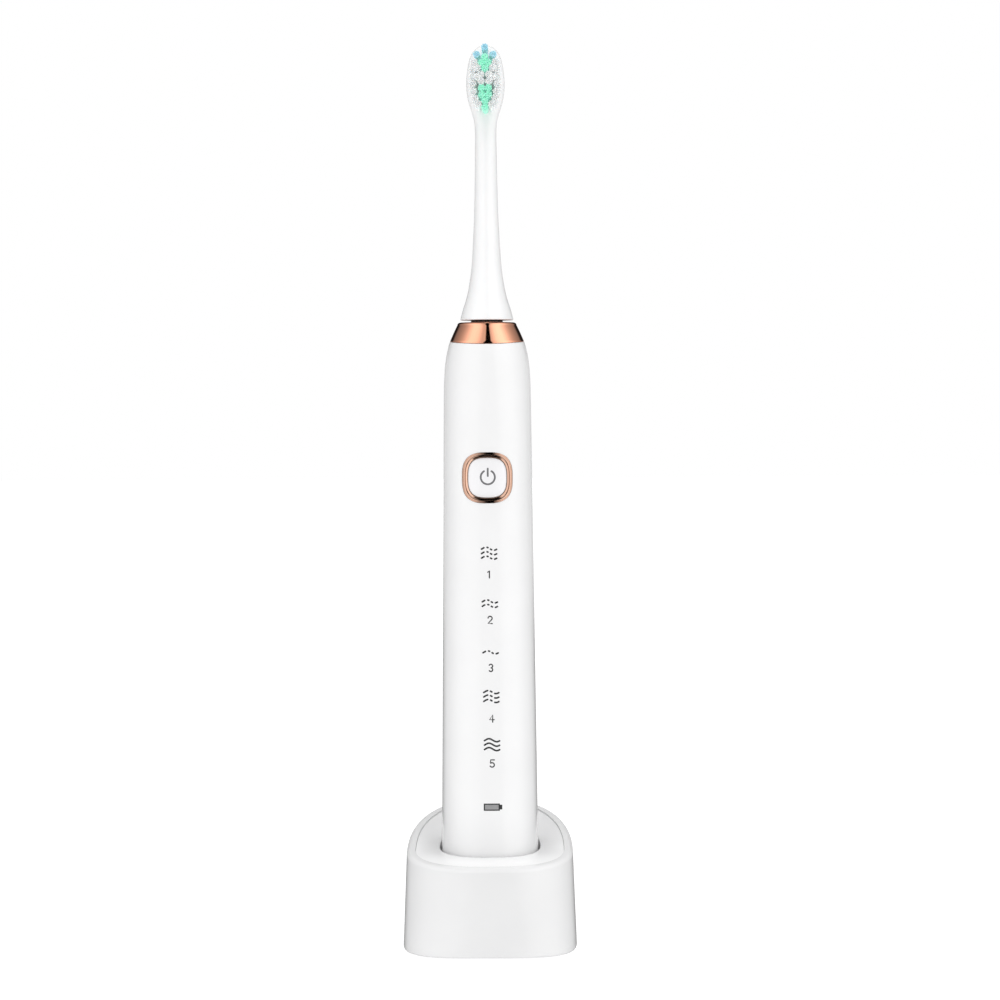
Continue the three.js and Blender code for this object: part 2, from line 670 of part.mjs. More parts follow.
function motorCase() {
  return turned([
    [1, MOTOR_BOTTOM], [MOTOR_RADIUS, MOTOR_BOTTOM], [MOTOR_RADIUS, MOTOR_TOP],
    [MOTOR_RADIUS - 0.7, MOTOR_TOP], [MOTOR_RADIUS - 0.7, MOTOR_BOTTOM + 0.8], [1, MOTOR_BOTTOM + 0.8],
  ], 28);
}

// An arc-shaped bar, centred on an angle.
function arcBar(innerRadius, outerRadius, centre, spread, bottom, top) {
  const outline = new THREE.Shape()
    .absarc(0, 0, outerRadius, centre - spread / 2, centre + spread / 2, false)
    .absarc(0, 0, innerRadius, centre + spread / 2, centre - spread / 2, true);
  return new THREE.ExtrudeGeometry(outline, {
    depth: top - bottom,
    bevelEnabled: false,
    curveSegments: 10,
  }).translate(0, 0, bottom);
}

const statorPole = (centre) =>
  arcBar(POLE_RADIUS, MOTOR_RADIUS - 1, centre, Math.PI / 2, ROTOR_BOTTOM - 0.6, ROTOR_TOP + 1);

const rotorMagnet = (centre) =>
  arcBar(ROTOR_RADIUS + GAP, MAGNET_RADIUS, centre, 2.4, ROTOR_BOTTOM, ROTOR_TOP);

// The shaft has a flat on its front from just under the coupler up to its tip.
function driveShaft() {
  const flat = block([-3, 3], [-4, SHAFT_FLAT_Y], [SHAFT_FLAT_BOTTOM, SHAFT_TOP + 1]);
  return cut(rod(SHAFT_RADIUS, SHAFT_BOTTOM, SHAFT_TOP), flat);
}

// ---------------------------------------------------------------- brush head

// The head's sections between its stations, on a smooth curve through them.
function headSections(count) {
  const curve = (column) => new THREE.CatmullRomCurve3(
    HEAD_STATIONS.map((station) => new THREE.Vector3(station[0], station[column], 0)),
    false,
    "centripetal",
  );
  const curves = [1, 2, 3, 4].map(curve);
  return Array.from({ length: count + 1 }, (_, i) => {
    const points = curves.map((c) => c.getPoint(i / count));
    return [points[0].x, ...points.map((p) => p.y)];
  });
}

function headHalfAt(z) {
  const upper = HEAD_STATIONS.findIndex((station) => station[0] >= z);
  const [low, high] = [HEAD_STATIONS[upper - 1], HEAD_STATIONS[upper]];
  return THREE.MathUtils.lerp(low[1], high[1], (z - low[0]) / (high[0] - low[0]));
}

// The oval outline of the bristle field, as [x, z] corners.
function plateOutline(inset) {
  const middle = (PLATE_TOP + PLATE_BOTTOM) / 2;
  const reach = (PLATE_TOP - PLATE_BOTTOM) / 2 - inset;
  const steps = 10;
  const side = Array.from({ length: steps + 1 }, (_, i) => {
    const u = Math.sin((Math.PI * (i / steps - 0.5)));
    const z = middle + reach * u;
    return [(headHalfAt(z) - PLATE_INSET - inset) * Math.sqrt(Math.max(0, 1 - u ** 6)), z];
  });
  const left = side.slice(1, -1).reverse().map(([x, z]) => [-x, z]);
  return [...side, ...left];
}

function brushBody() {
  const sections = headSections(26).map(([z, halfX, halfY, centreY, exponent]) =>
    ring((angle) => {
      const r = squircleRadius(angle, halfX, halfY, exponent);
      return new THREE.Vector3(r * Math.cos(angle), centreY + r * Math.sin(angle), z);
    }, 24));
  return cut(
    loft(sections),
    rod(SOCKET_MOUTH_RADIUS, HEAD_BOTTOM - 1, SOCKET_MOUTH_TOP),
    rod(SOCKET_RADIUS, HEAD_BOTTOM - 1, SHAFT_TOP + 1),
    slab(plateOutline(0), -6, POCKET_FLOOR_Y),
  );
}

// The coupler in the head's socket has the shaft's flat in its bore, so the shaft can turn it.
function brushCoupler() {
  const bore = cut(
    rod(SHAFT_RADIUS + BORE_CLEARANCE, COUPLER_BOTTOM - 1, SHAFT_TOP + 2),
    block([-3, 3], [-4, SHAFT_FLAT_Y - BORE_CLEARANCE], [COUPLER_BOTTOM - 2, SHAFT_TOP + 3]),
  );
  return cut(rod(COUPLER_RADIUS, COUPLER_BOTTOM, SHAFT_TOP + 0.6), bore);
}

function tufts(colour, rootY) {
  const places = TUFT_ROWS[colour].flatMap(([x, z]) => (x === 0 ? [[0, z]] : [[x, z], [-x, z]]));
  return places.map(([x, z]) => frontRod(TUFT_RADIUS, x, z, TUFT_TIP_Y, rootY, 6));
}

// The white tufts stand on a thin plate in the head's pocket.
function whiteBristles() {
  const plate = slab(plateOutline(GAP), PLATE_FRONT_Y, POCKET_FLOOR_Y - GAP);
  return join(plate, ...tufts("white", PLATE_FRONT_Y + 0.2));
}

// A flat bar in front of that plate, between two [x, z] places.
function webBar([from, to]) {
  const across = to[0] - from[0];
  const up = to[1] - from[1];
  return new THREE.BoxGeometry(Math.hypot(across, up), WEB_DEPTH, WEB_WIDTH)
    .rotateY(-Math.atan2(up, across))
    .translate((from[0] + to[0]) / 2, WEB_Y, (from[1] + to[1]) / 2);
}

const colouredBristles = (colour, webs) =>
  join(...webs.map(webBar), ...tufts(colour, WEB_Y + WEB_DEPTH / 2));

// ---------------------------------------------------------------- charging base

const rimZ = (y) => RIM_Z + RIM_SLOPE * (y - HANDLE_Y);
const mouthZ = (y) => MOUTH_Z + MOUTH_SLOPE * (y - HANDLE_Y);

const BASE_SIDES = 44;

// A point of the base's outline in plan, moved in by an inset. Lift runs from 0 at the foot to 1
// at the rim, where the front is rounder.
function basePlan(angle, inset, lift) {
  const front = Math.sin(angle) < 0;
  const depth = front ? BASE_WIDEST_Y - BASE_FRONT : BASE_BACK - BASE_WIDEST_Y;
  const frontExponent = THREE.MathUtils.lerp(FOOT_EXPONENT, RIM_EXPONENT, lift);
  const exponent = front ? frontExponent : BACK_EXPONENT;
  const r = squircleRadius(angle, BASE_HALF_WIDTH - inset, depth - inset, exponent);
  return new THREE.Vector2(r * Math.cos(angle), BASE_WIDEST_Y + r * Math.sin(angle));
}

// A ring of the base's outline; its height is a number or a function of y.
function baseRing(inset, lift, height) {
  return ring((angle) => {
    const p = basePlan(angle, inset, lift);
    const z = typeof height === "number" ? height : height(p.y);
    return new THREE.Vector3(p.x, p.y, z);
  }, BASE_SIDES);
}

const below = (drop) => (y) => rimZ(y) - drop;

const bossPlaces = () => BOSS_ANGLES.map((degrees) => {
  const angle = THREE.MathUtils.degToRad(degrees);
  return { angle, centre: basePlan(angle, BOSS_INSET, 0), wall: basePlan(angle, 1.1, 0) };
});

// A screw boss with a rib that ties it to the housing's wall.
function screwBoss({ angle, centre, wall }) {
  const reach = centre.distanceTo(wall);
  const rib = new THREE.BoxGeometry(reach, RIB_THICKNESS, BOSS_TOP - BOSS_BOTTOM - 0.4)
    .rotateZ(angle)
    .translate((centre.x + wall.x) / 2, (centre.y + wall.y) / 2, (BOSS_TOP + BOSS_BOTTOM) / 2);
  return join(rod(BOSS_RADIUS, BOSS_BOTTOM, BOSS_TOP, 14).translate(centre.x, centre.y, 0), rib);
}

function baseHousing() {
  const rounding = [30, 60, 90].map((degrees) => THREE.MathUtils.degToRad(degrees));
  const lip = BASE_DRAFT + RIM_WIDTH;
  const shell = loft([
    baseRing(0.5, 0, BASE_BOTTOM),
    baseRing(0.15, 0, BASE_BOTTOM + 0.25),
    baseRing(0, 0, BASE_BOTTOM + 0.8),
    baseRing(BASE_DRAFT / 2, 0.5, (y) => (rimZ(y) - RIM_ROUNDING) / 2),
    baseRing(BASE_DRAFT, 1, below(RIM_ROUNDING)),
    ...rounding.map((turn) => baseRing(
      BASE_DRAFT + RIM_ROUNDING * (1 - Math.cos(turn)),
      1,
      below(RIM_ROUNDING * (1 - Math.sin(turn))),
    )),
    baseRing(lip - 0.25, 1, below(0)),
    baseRing(lip, 1, below(0.25)),
    baseRing(lip, 1, below(2.4)),
    baseRing(BASE_DRAFT + BASE_WALL, 1, below(3.4)),
    baseRing(BASE_DRAFT / 2 + BASE_WALL, 0.5, (y) => (rimZ(y) - RIM_ROUNDING) / 2),
    baseRing(BASE_WALL, 0, BASE_BOTTOM),
  ], true);
  const bosses = bossPlaces().map(screwBoss);
  const bores = bossPlaces().map(({ centre }) =>
    rod(BOSS_BORE, BOSS_BOTTOM - 1, BOSS_TOP - 1.5, 10).translate(centre.x, centre.y, 0));
  return cut(join(shell, ...bosses), ...bores, frontRod(GLAND_NECK + GAP, 0, GLAND_Z, 20, 40));
}

// Top piece: a dished surface that falls from the rim to the cup, the cup itself and the post.
function cradleCup() {
  const edgeInset = BASE_DRAFT + RIM_WIDTH + GAP;
  const aboutHandle = (half, exponent, height) => ring((angle) => {
    const r = squircleRadius(angle, half, half, exponent);
    const y = HANDLE_Y + r * Math.sin(angle);
    const z = typeof height === "number" ? height : height(y);
    return new THREE.Vector3(r * Math.cos(angle), y, z);
  }, BASE_SIDES);
  const edge = (inset, drop) => baseRing(inset, 1, below(CRADLE_STEP + drop));
  const mouth = aboutHandle(CUP_HALF + 0.5, HANDLE_EXPONENT, mouthZ);
  const rim = edge(edgeInset + 0.2, 0);
  const dish = (share, drop) => mouth.map((from, i) => {
    const p = from.clone().lerp(rim[i], share);
    const rise = rimZ(p.y) - CRADLE_STEP - mouthZ(p.y);
    return p.setZ(mouthZ(p.y) + rise * share ** DISH_POWER - drop);
  });
  const under = CRADLE_WALL;
  return loft([
    aboutHandle(POST_RADIUS - 0.8, 2, POST_TOP),
    aboutHandle(POST_RADIUS, 2, POST_TOP - 0.8),
    aboutHandle(POST_RADIUS + 0.1, 2, CUP_FLOOR),
    aboutHandle(CUP_HALF - 0.1, HANDLE_EXPONENT, CUP_FLOOR),
    aboutHandle(CUP_HALF, HANDLE_EXPONENT, (y) => mouthZ(y) - 0.5),
    mouth,
    dish(0.33, 0),
    dish(0.67, 0),
    rim,
    edge(edgeInset, 0.2),
    edge(edgeInset, 4),
    edge(edgeInset + 1.3, 4),
    dish(0.67, under),
    dish(0.33, under),
    aboutHandle(CUP_HALF + under, HANDLE_EXPONENT, (y) => mouthZ(y) - under),
    aboutHandle(CUP_HALF + under, HANDLE_EXPONENT, CUP_FLOOR - under),
    aboutHandle(POST_RADIUS - 1.2, 2, CUP_FLOOR - under),
    aboutHandle(POST_RADIUS - 1.3, 2, POST_TOP - 1),
  ]);
}

const footPlaces = () => FOOT_ANGLES.map((degrees) =>
  basePlan(THREE.MathUtils.degToRad(degrees), FOOT_INSET, 0));

function bottomCover() {
  const outline = baseRing(BASE_WALL + GAP, 0, 0).map((p) => new THREE.Vector2(p.x, p.y));
  const plate = new THREE.ExtrudeGeometry(new THREE.Shape(outline), {
    depth: COVER_TOP - COVER_BOTTOM,
    bevelEnabled: false,
  }).translate(0, 0, COVER_BOTTOM);
  const standoffs = STANDOFF_PLACES.map(([x, y]) =>
    rod(STANDOFF_RADIUS, COVER_TOP - 0.5, STANDOFF_TOP, 8).translate(x, y, 0));
  const sockets = footPlaces().map((p) =>
    rod(FOOT_RADIUS + GAP, 0, FOOT_HEIGHT + GAP, 16).translate(p.x, p.y, 0));
  const screwHoles = bossPlaces().flatMap(({ centre }) => [
    rod(SCREW_WELL_RADIUS, 0, SCREW_WELL_TOP, 14).translate(centre.x, centre.y, 0),
    rod(SCREW_HOLE_RADIUS, 0, COVER_TOP + 1, 10).translate(centre.x, centre.y, 0),
  ]);
  return cut(join(plate, ...standoffs), ...sockets, ...screwHoles);
}

function baseFoot() {
  return loft([
    squircleRing(FOOT_RADIUS - 0.3, 2, 0, 20),
    squircleRing(FOOT_RADIUS, 2, 0.3, 20),
    squircleRing(FOOT_RADIUS, 2, FOOT_HEIGHT, 20),
  ]);
}

// A pan-head screw with a cross slot, head down.
function baseScrew() {
  const [underside, headTop] = SCREW_HEAD_ZS;
  const head = rod(SCREW_HEAD_RADIUS, underside, headTop, 14);
  const shank = rod(SCREW_SHANK_RADIUS, headTop - 0.2, SCREW_TIP_Z, 8);
  const along = [-SCREW_SLOT_HALF_LENGTH, SCREW_SLOT_HALF_LENGTH];
  const across = [-SCREW_SLOT_HALF_WIDTH, SCREW_SLOT_HALF_WIDTH];
  const depth = [0, SCREW_SLOT_TOP];
  return cut(join(head, shank), block(along, across, depth), block(across, along, depth));
}

function coilBobbin() {
  const hubBottom = BOBBIN_BOTTOM + BOBBIN_FLANGE;
  const hubTop = BOBBIN_TOP - BOBBIN_FLANGE;
  return turned([
    [BOBBIN_BORE, BOBBIN_BOTTOM], [BOBBIN_RADIUS, BOBBIN_BOTTOM],
    [BOBBIN_RADIUS, hubBottom], [BOBBIN_HUB, hubBottom],
    [BOBBIN_HUB, hubTop], [BOBBIN_RADIUS, hubTop],
    [BOBBIN_RADIUS, BOBBIN_TOP], [BOBBIN_BORE, BOBBIN_TOP],
  ], 28);
}

function primaryCoil() {
  const bottom = BOBBIN_BOTTOM + BOBBIN_FLANGE + GAP;
  return tube(BOBBIN_HUB + GAP, BOBBIN_RADIUS - 0.5, bottom, BOBBIN_TOP - BOBBIN_FLANGE - GAP);
}

// The rubber outlet for the lead, set in the back wall with its flange inside.
function cordGland() {
  const [inner, shoulder, outer] = GLAND_YS;
  const profile = [
    [GLAND_BORE, inner], [GLAND_FLANGE, inner], [GLAND_FLANGE, shoulder],
    [GLAND_NECK, shoulder], [GLAND_NECK, outer], [GLAND_BORE, outer], [GLAND_BORE, inner],
  ];
  const corners = profile.map(([r, y]) => new THREE.Vector2(r, y));
  return new THREE.LatheGeometry(corners, 28).translate(0, 0, GLAND_Z);
}

// ---------------------------------------------------------------- assembly

const toothbrushOnCharger = new THREE.Group();
toothbrushOnCharger.name = "toothbrush_on_charger";

const chargerBase = new THREE.Group();
const handle = new THREE.Group();
const drive = new THREE.Group();
const brushHead = new THREE.Group();
for (const upright of [handle, drive, brushHead]) upright.position.set(0, HANDLE_Y, STAND_Z);
toothbrushOnCharger.add(chargerBase, handle, drive, brushHead);

function place(group, name, geometry, material) {
  const piece = new THREE.Mesh(facingOut(geometry), material.clone());
  piece.name = name;
  group.add(piece);
  return piece;
}

place(chargerBase, "base_housing", baseHousing(), WHITE_GLOSS);
place(chargerBase, "cradle_cup", cradleCup(), WHITE_GLOSS);
place(chargerBase, "base_bottom_cover", bottomCover(), WHITE_SATIN);
footPlaces().forEach((p, i) => {
  place(chargerBase, `base_foot_${i + 1}`, baseFoot(), SOFT_GREY).position.set(p.x, p.y, 0);
});
bossPlaces().forEach(({ centre }, i) => {
  place(chargerBase, `base_screw_${i + 1}`, baseScrew(), STEEL).position.set(centre.x, centre.y, 0);
});
const core = rod(CORE_RADIUS, BOBBIN_BOTTOM + 0.6, POST_TOP - 1.4);
place(chargerBase, "charging_core", core, FERRITE).position.y = HANDLE_Y;
place(chargerBase, "coil_bobbin", coilBobbin(), WHITE_SATIN).position.y = HANDLE_Y;
place(chargerBase, "primary_coil", primaryCoil(), COPPER).position.y = HANDLE_Y;
place(chargerBase, "charger_board", block(...CHARGER_BOARD), BOARD_GREEN);
place(chargerBase, "switching_transformer", block(...TRANSFORMER), DARK_PLASTIC);
const capacitor = rod(CAPACITOR_RADIUS, ...CAPACITOR_ZS, 28).translate(...CAPACITOR_PLACE, 0);
place(chargerBase, "filter_capacitor", capacitor, DARK_PLASTIC);
place(chargerBase, "cord_gland", cordGland(), BLACK_RUBBER);

place(handle, "handle_shell", handleShell(), WHITE_GLOSS);
place(handle, "collar_ring", collarRing(), ROSE_GOLD);
place(handle, "nose_cap", turned(NOSE_CAP_PROFILE, 28), DARK_PLASTIC);
place(handle, "shaft_seal", turned(SHAFT_SEAL_PROFILE, 28), BLACK_RUBBER);
place(handle, "button_ring", buttonRing(), ROSE_GOLD);
place(handle, "button_seal", buttonSeal(), BLACK_RUBBER);
place(handle, "power_button", powerButton(), WHITE_GLOSS);
place(handle, "switch_body", switchBody(), DARK_PLASTIC);
place(handle, "switch_plunger", frontRod(PLUNGER_RADIUS, 0, BUTTON_Z, ...PLUNGER_YS, 20), SOFT_GREY);
place(handle, "bottom_cap", bottomCap(), WHITE_GLOSS);
place(handle, "cap_seal", capSeal(), BLACK_RUBBER);
place(handle, "receiver_coil", tube(...RECEIVER_COIL), COPPER);
place(handle, "chassis", chassis(), WHITE_SATIN);
place(handle, "battery_cell", batteryCell(), CELL_WRAP);
place(handle, "battery_tab_lower", batteryTab(BATTERY_BOTTOM - 0.7, 3), NICKEL);
place(handle, "battery_tab_upper", batteryTab(BATTERY_TOP + 0.3, -3), NICKEL);
place(handle, "main_board", block(
  [-MAIN_BOARD_HALF, MAIN_BOARD_HALF],
  [BOARD_FRONT_Y, BOARD_FRONT_Y + BOARD_THICKNESS],
  MAIN_BOARD_ZS,
), BOARD_GREEN);
modeHeights().forEach((z, i) => place(handle, `mode_led_${i + 1}`, indicator(z), LED_LENS));
place(handle, "battery_led", indicator(BATTERY_LIGHT_Z), LED_LENS);
place(handle, "light_mask", lightMask(), DARK_PLASTIC);
place(handle, "motor_case", motorCase(), STEEL);
place(handle, "motor_front_plate", tube(...FRONT_PLATE, 28), STEEL);
const bearing = (zs) => tube(SHAFT_RADIUS + BORE_CLEARANCE, BEARING_RADIUS, ...zs);
place(handle, "front_bearing", bearing(FRONT_BEARING_ZS), BRONZE);
place(handle, "rear_bearing", bearing(REAR_BEARING_ZS), BRONZE);
place(handle, "stator_pole_left", statorPole(Math.PI), STEEL);
place(handle, "stator_pole_right", statorPole(0), STEEL);
place(handle, "stator_coil", tube(...STATOR_COIL), COPPER);
const dampers = DAMPER_BOTTOMS.map((bottom) =>
  tube(MOTOR_RADIUS + GAP, DAMPER_OUTER, bottom, bottom + DAMPER_HEIGHT, 28));
place(handle, "motor_damper_lower", dampers[0], BLACK_RUBBER);
place(handle, "motor_damper_upper", dampers[1], BLACK_RUBBER);

place(drive, "drive_shaft", driveShaft(), STEEL);
const rotorCore = tube(SHAFT_RADIUS + BORE_CLEARANCE, ROTOR_RADIUS, ROTOR_BOTTOM, ROTOR_TOP);
place(drive, "rotor_core", rotorCore, STEEL);
place(drive, "rotor_magnet_front", rotorMagnet(-Math.PI / 2), MAGNET);
place(drive, "rotor_magnet_back", rotorMagnet(Math.PI / 2), MAGNET);

place(brushHead, "brush_body", brushBody(), WHITE_GLOSS);
place(brushHead, "brush_coupler", brushCoupler(), DARK_PLASTIC);
place(brushHead, "bristles_white", whiteBristles(), NYLON_WHITE);
place(brushHead, "bristles_green", colouredBristles("green", GREEN_WEBS), NYLON_GREEN);
place(brushHead, "bristles_blue", colouredBristles("blue", BLUE_WEBS), NYLON_BLUE);

export default toothbrushOnCharger;
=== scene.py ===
"""Electric toothbrush on its charger: the fine surfaces and the looks, around the CAD frame.

Lengths are millimetres in the code and become metres where a mesh is made. +Z is up and -Y is the
front, as in the frame. The toothbrush's own axis stands at y = HANDLE_Y.
"""
import json
import random
from functools import partial
from math import cos, hypot, pi, radians, sin, sqrt, tan

import bpy
from mathutils import Matrix, Vector


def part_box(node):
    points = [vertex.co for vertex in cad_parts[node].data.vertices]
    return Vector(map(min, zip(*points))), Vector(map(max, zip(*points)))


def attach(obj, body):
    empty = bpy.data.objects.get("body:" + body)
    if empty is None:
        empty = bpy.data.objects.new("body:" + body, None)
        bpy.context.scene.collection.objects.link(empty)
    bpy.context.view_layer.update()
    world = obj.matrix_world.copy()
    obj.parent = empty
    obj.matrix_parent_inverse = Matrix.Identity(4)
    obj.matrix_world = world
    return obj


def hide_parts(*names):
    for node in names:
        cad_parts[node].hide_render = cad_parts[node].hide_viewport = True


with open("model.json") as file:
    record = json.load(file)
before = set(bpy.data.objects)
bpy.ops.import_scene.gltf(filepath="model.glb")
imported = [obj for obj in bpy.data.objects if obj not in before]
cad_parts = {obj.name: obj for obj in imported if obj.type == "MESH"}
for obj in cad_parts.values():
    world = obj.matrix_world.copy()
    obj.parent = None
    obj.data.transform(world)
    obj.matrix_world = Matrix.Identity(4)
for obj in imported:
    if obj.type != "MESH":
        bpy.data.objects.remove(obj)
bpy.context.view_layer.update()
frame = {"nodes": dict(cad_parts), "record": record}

MM = 0.001
TAU = 2 * pi


def box_mm(node):
    """Lowest and highest corner of a CAD node, in millimetres."""
    low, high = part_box(node)
    return Vector(low) / MM, Vector(high) / MM


# ------------------------------------------------------------------ sizes taken from the frame

HOUSING_LOW, HOUSING_HIGH = box_mm("base_housing")
SHAFT_LOW, SHAFT_HIGH = box_mm("drive_shaft")
SEAL_LOW, SEAL_HIGH = box_mm("shaft_seal")
GLAND_LOW, GLAND_HIGH = box_mm("cord_gland")
HANDLE_BOTTOM, CAP_TOP = (corner.z for corner in box_mm("bottom_cap"))
HEAD_BOTTOM, HEAD_TOP = (corner.z for corner in box_mm("brush_body"))
HANDLE_Y = sum(corner.y for corner in box_mm("handle_shell")) / 2
BUTTON_Z = sum(corner.z for corner in box_mm("button_ring")) / 2
GLAND_Z = (GLAND_LOW.z + GLAND_HIGH.z) / 2
COLLAR_TOP = box_mm("collar_ring")[1].z
BUTTON_BACK_Y = box_mm("power_button")[1].y
TUFT_TIP_Y = box_mm("bristles_white")[0].y

# ------------------------------------------------------------------ shapes shared with the frame

STAND_Z = HANDLE_BOTTOM - 18.4  # the handle's own drawing heights start this far up
HANDLE_HALF_BOTTOM = 14.6
HANDLE_TAPER = 0.0111  # loss of half width for each millimetre of height
HANDLE_EXPONENT = 2.7
SHOULDER_Z = STAND_Z + 155
SHOULDER_DROP = 1.45
SHOULDER_POWER = 4.5
SEAM_Z = STAND_Z + 178.25
SEAM_DIP = 0.65  # how much lower the collar's seam is at the front and back than at the sides
SEAM_EXPONENT = 2.2
COLLAR_HALF_BOTTOM = 11.5
COLLAR_CONE = 0.46  # loss of half width for each millimetre of height

BASE_WIDEST_Y = -11.6
BASE_DRAFT = 1.0  # how far the wall leans in between its foot and its rim
BASE_WALL = 2.0
FOOT_EXPONENT = 3.5
RIM_EXPONENT = 2.6
BACK_EXPONENT = 2.35
RIM_Z = 30.75
RIM_SLOPE = tan(radians(9.6))
RIM_ROUNDING = 1.3
RIM_WIDTH = 2.6
CRADLE_STEP = 0.5  # how far the cradle's edge lies under the rim
CRADLE_WALL = 1.6
MOUTH_Z = 29
MOUTH_SLOPE = tan(radians(2.5))
CUP_HALF = 15.15
CUP_FLOOR = 20.3
POST_RADIUS = 4.2
POST_TOP = 28.9
DISH_POWER = 1.8

BUTTON_EXPONENT = 2.9
STEM_RADIUS = 1.75

HANDLE_SIDES = 192  # points around each cross-section
ROD_SIDES = 72
BASE_SIDES = 256
SHARP_DEGREES = 32  # edges with a larger angle between their faces are shaded sharp


def squircle_radius(angle, half_x, half_y, exponent):
    across = abs(cos(angle)) / half_x
    along = abs(sin(angle)) / half_y
    return (across ** exponent + along ** exponent) ** (-1 / exponent)


def clamped_ramp(value, low, high):
    return min(1.0, max(0.0, (value - low) / (high - low)))


def lerp(a, b, share):
    return a + (b - a) * share


def handle_half(z):
    shoulder = max(0.0, (z - SHOULDER_Z) / (SEAM_Z - SEAM_DIP - SHOULDER_Z))
    straight = HANDLE_HALF_BOTTOM - HANDLE_TAPER * (z - HANDLE_BOTTOM)
    return straight - SHOULDER_DROP * shoulder ** SHOULDER_POWER


def handle_exponent(z):
    return lerp(HANDLE_EXPONENT, SEAM_EXPONENT, clamped_ramp(z, SHOULDER_Z, SEAM_Z))


def seam_z(angle):
    return SEAM_Z - SEAM_DIP * sin(angle) ** 2


def handle_point(angle, z, inset=0.0):
    half = handle_half(z) - inset
    r = squircle_radius(angle, half, half, handle_exponent(z))
    return Vector((r * cos(angle), HANDLE_Y + r * sin(angle), z))


def handle_ring(z, inset=0.0):
    return ring(lambda a: handle_point(a, z, inset), HANDLE_SIDES)


def handle_front_y(x, z, proud=0.0):
    """y of the handle's front surface at (x, z), moved out by proud."""
    half = handle_half(z)
    depth = half * (1 - (abs(x) / half) ** HANDLE_EXPONENT) ** (1 / HANDLE_EXPONENT)
    return HANDLE_Y - depth - proud


def collar_half(z):
    return COLLAR_HALF_BOTTOM - COLLAR_CONE * (z - SEAM_Z + SEAM_DIP)


def collar_point(angle, z, inset=0.0):
    half = collar_half(z) - inset
    exponent = lerp(SEAM_EXPONENT, 2, clamped_ramp(z, SEAM_Z, COLLAR_TOP))
    r = squircle_radius(angle, half, half, exponent)
    return Vector((r * cos(angle), HANDLE_Y + r * sin(angle), z))


def base_plan(angle, inset, lift):
    front = sin(angle) < 0
    depth = BASE_WIDEST_Y - HOUSING_LOW.y if front else HOUSING_HIGH.y - BASE_WIDEST_Y
    exponent = lerp(FOOT_EXPONENT, RIM_EXPONENT, lift) if front else BACK_EXPONENT
    r = squircle_radius(angle, HOUSING_HIGH.x - inset, depth - inset, exponent)
    return r * cos(angle), BASE_WIDEST_Y + r * sin(angle)


def rim_z(y):
    return RIM_Z + RIM_SLOPE * (y - HANDLE_Y)


def mouth_z(y):
    return MOUTH_Z + MOUTH_SLOPE * (y - HANDLE_Y)


# ------------------------------------------------------------------ mesh building

def ring(point_at, sides):
    return [point_at(TAU * i / sides) for i in range(sides)]


def circles(sides, *profile):
    """Circles about the handle's axis, from (radius, z) pairs."""
    return [ring(lambda a: Vector((r * cos(a), HANDLE_Y + r * sin(a), z)), sides)
            for r, z in profile]


def height_at(height, y):
    """A height that is given as a number or as a function of y."""
    return height(y) if callable(height) else height


def loft_data(rings, closed=False):
    """Points and faces of a skin over rings with equal point counts; open ends get a fan."""
    sides = len(rings[0])
    points = [p for r in rings for p in r]
    faces = []
    pairs = [(i, (i + 1) % sides) for i in range(sides)]
    for band in range(len(rings) if closed else len(rings) - 1):
        low = band * sides
        high = ((band + 1) % len(rings)) * sides
        faces += [(low + i, low + j, high + j, high + i) for i, j in pairs]
    if not closed:
        for start, flip in ((0, True), ((len(rings) - 1) * sides, False)):
            middle = len(points)
            points.append(sum((points[start + i] for i in range(sides)), Vector()) / sides)
            faces += [(middle, start + j, start + i) if flip else (middle, start + i, start + j)
                      for i, j in pairs]
    return points, faces


def outward(points, faces):
    """The faces of a closed skin, all turned round if they enclose a negative volume."""
    volume = sum(points[f[0]].dot(points[f[k]].cross(points[f[k + 1]]))
                 for f in faces for k in range(1, len(f) - 1))
    return [tuple(reversed(f)) for f in faces] if volume < 0 else faces


def add_object(name, data):
    made = bpy.data.objects.new(name, data)
    bpy.context.scene.collection.objects.link(made)
    return made


def mesh_piece(name, points, faces, sharp_degrees=SHARP_DEGREES):
    """A smooth-shaded object from points in millimetres, with its faces turned outward."""
    mesh = bpy.data.meshes.new(name)
    mesh.from_pydata([p * MM for p in points], [], outward(points, faces))
    mesh.shade_smooth()
    mesh.set_sharp_from_angle(angle=radians(sharp_degrees))
    return add_object(name, mesh)


def lofted(name, rings, closed=False, sharp_degrees=SHARP_DEGREES):
    return mesh_piece(name, *loft_data(rings, closed), sharp_degrees)


def merged(name, parts, sharp_degrees=SHARP_DEGREES):
    """One object from several (points, faces) solids."""
    points, faces = [], []
    for part_points, part_faces in parts:
        faces += [tuple(i + len(points) for i in f) for f in outward(part_points, part_faces)]
        points += part_points
    return mesh_piece(name, points, faces, sharp_degrees)


def carve(piece, *cutters, sharp_degrees=SHARP_DEGREES):
    """Cuts the cutters' volumes out of a piece and removes the cutters."""
    for cutter in cutters:
        modifier = piece.modifiers.new("carve", "BOOLEAN")
        modifier.operation = "DIFFERENCE"
        modifier.solver = "EXACT"
        modifier.object = cutter
    graph = bpy.context.evaluated_depsgraph_get()
    carved = bpy.data.meshes.new_from_object(piece.evaluated_get(graph))
    piece.modifiers.clear()
    piece.data = carved
    carved.shade_smooth()
    carved.set_sharp_from_angle(angle=radians(sharp_degrees))
    for cutter in cutters:
        bpy.data.objects.remove(cutter)


def arc_steps(count, start=0.0, end=90.0):
    """Evenly spaced angles from start to end degrees, in radians."""
    return [radians(lerp(start, end, i / count)) for i in range(count + 1)]


def rounded(radius, steps):
    """A rounded edge: pairs of which the first grows from 0 and the second shrinks to 0."""
    return [(radius * (1 - cos(t)), radius * (1 - sin(t))) for t in arc_steps(steps)]


# ------------------------------------------------------------------ materials

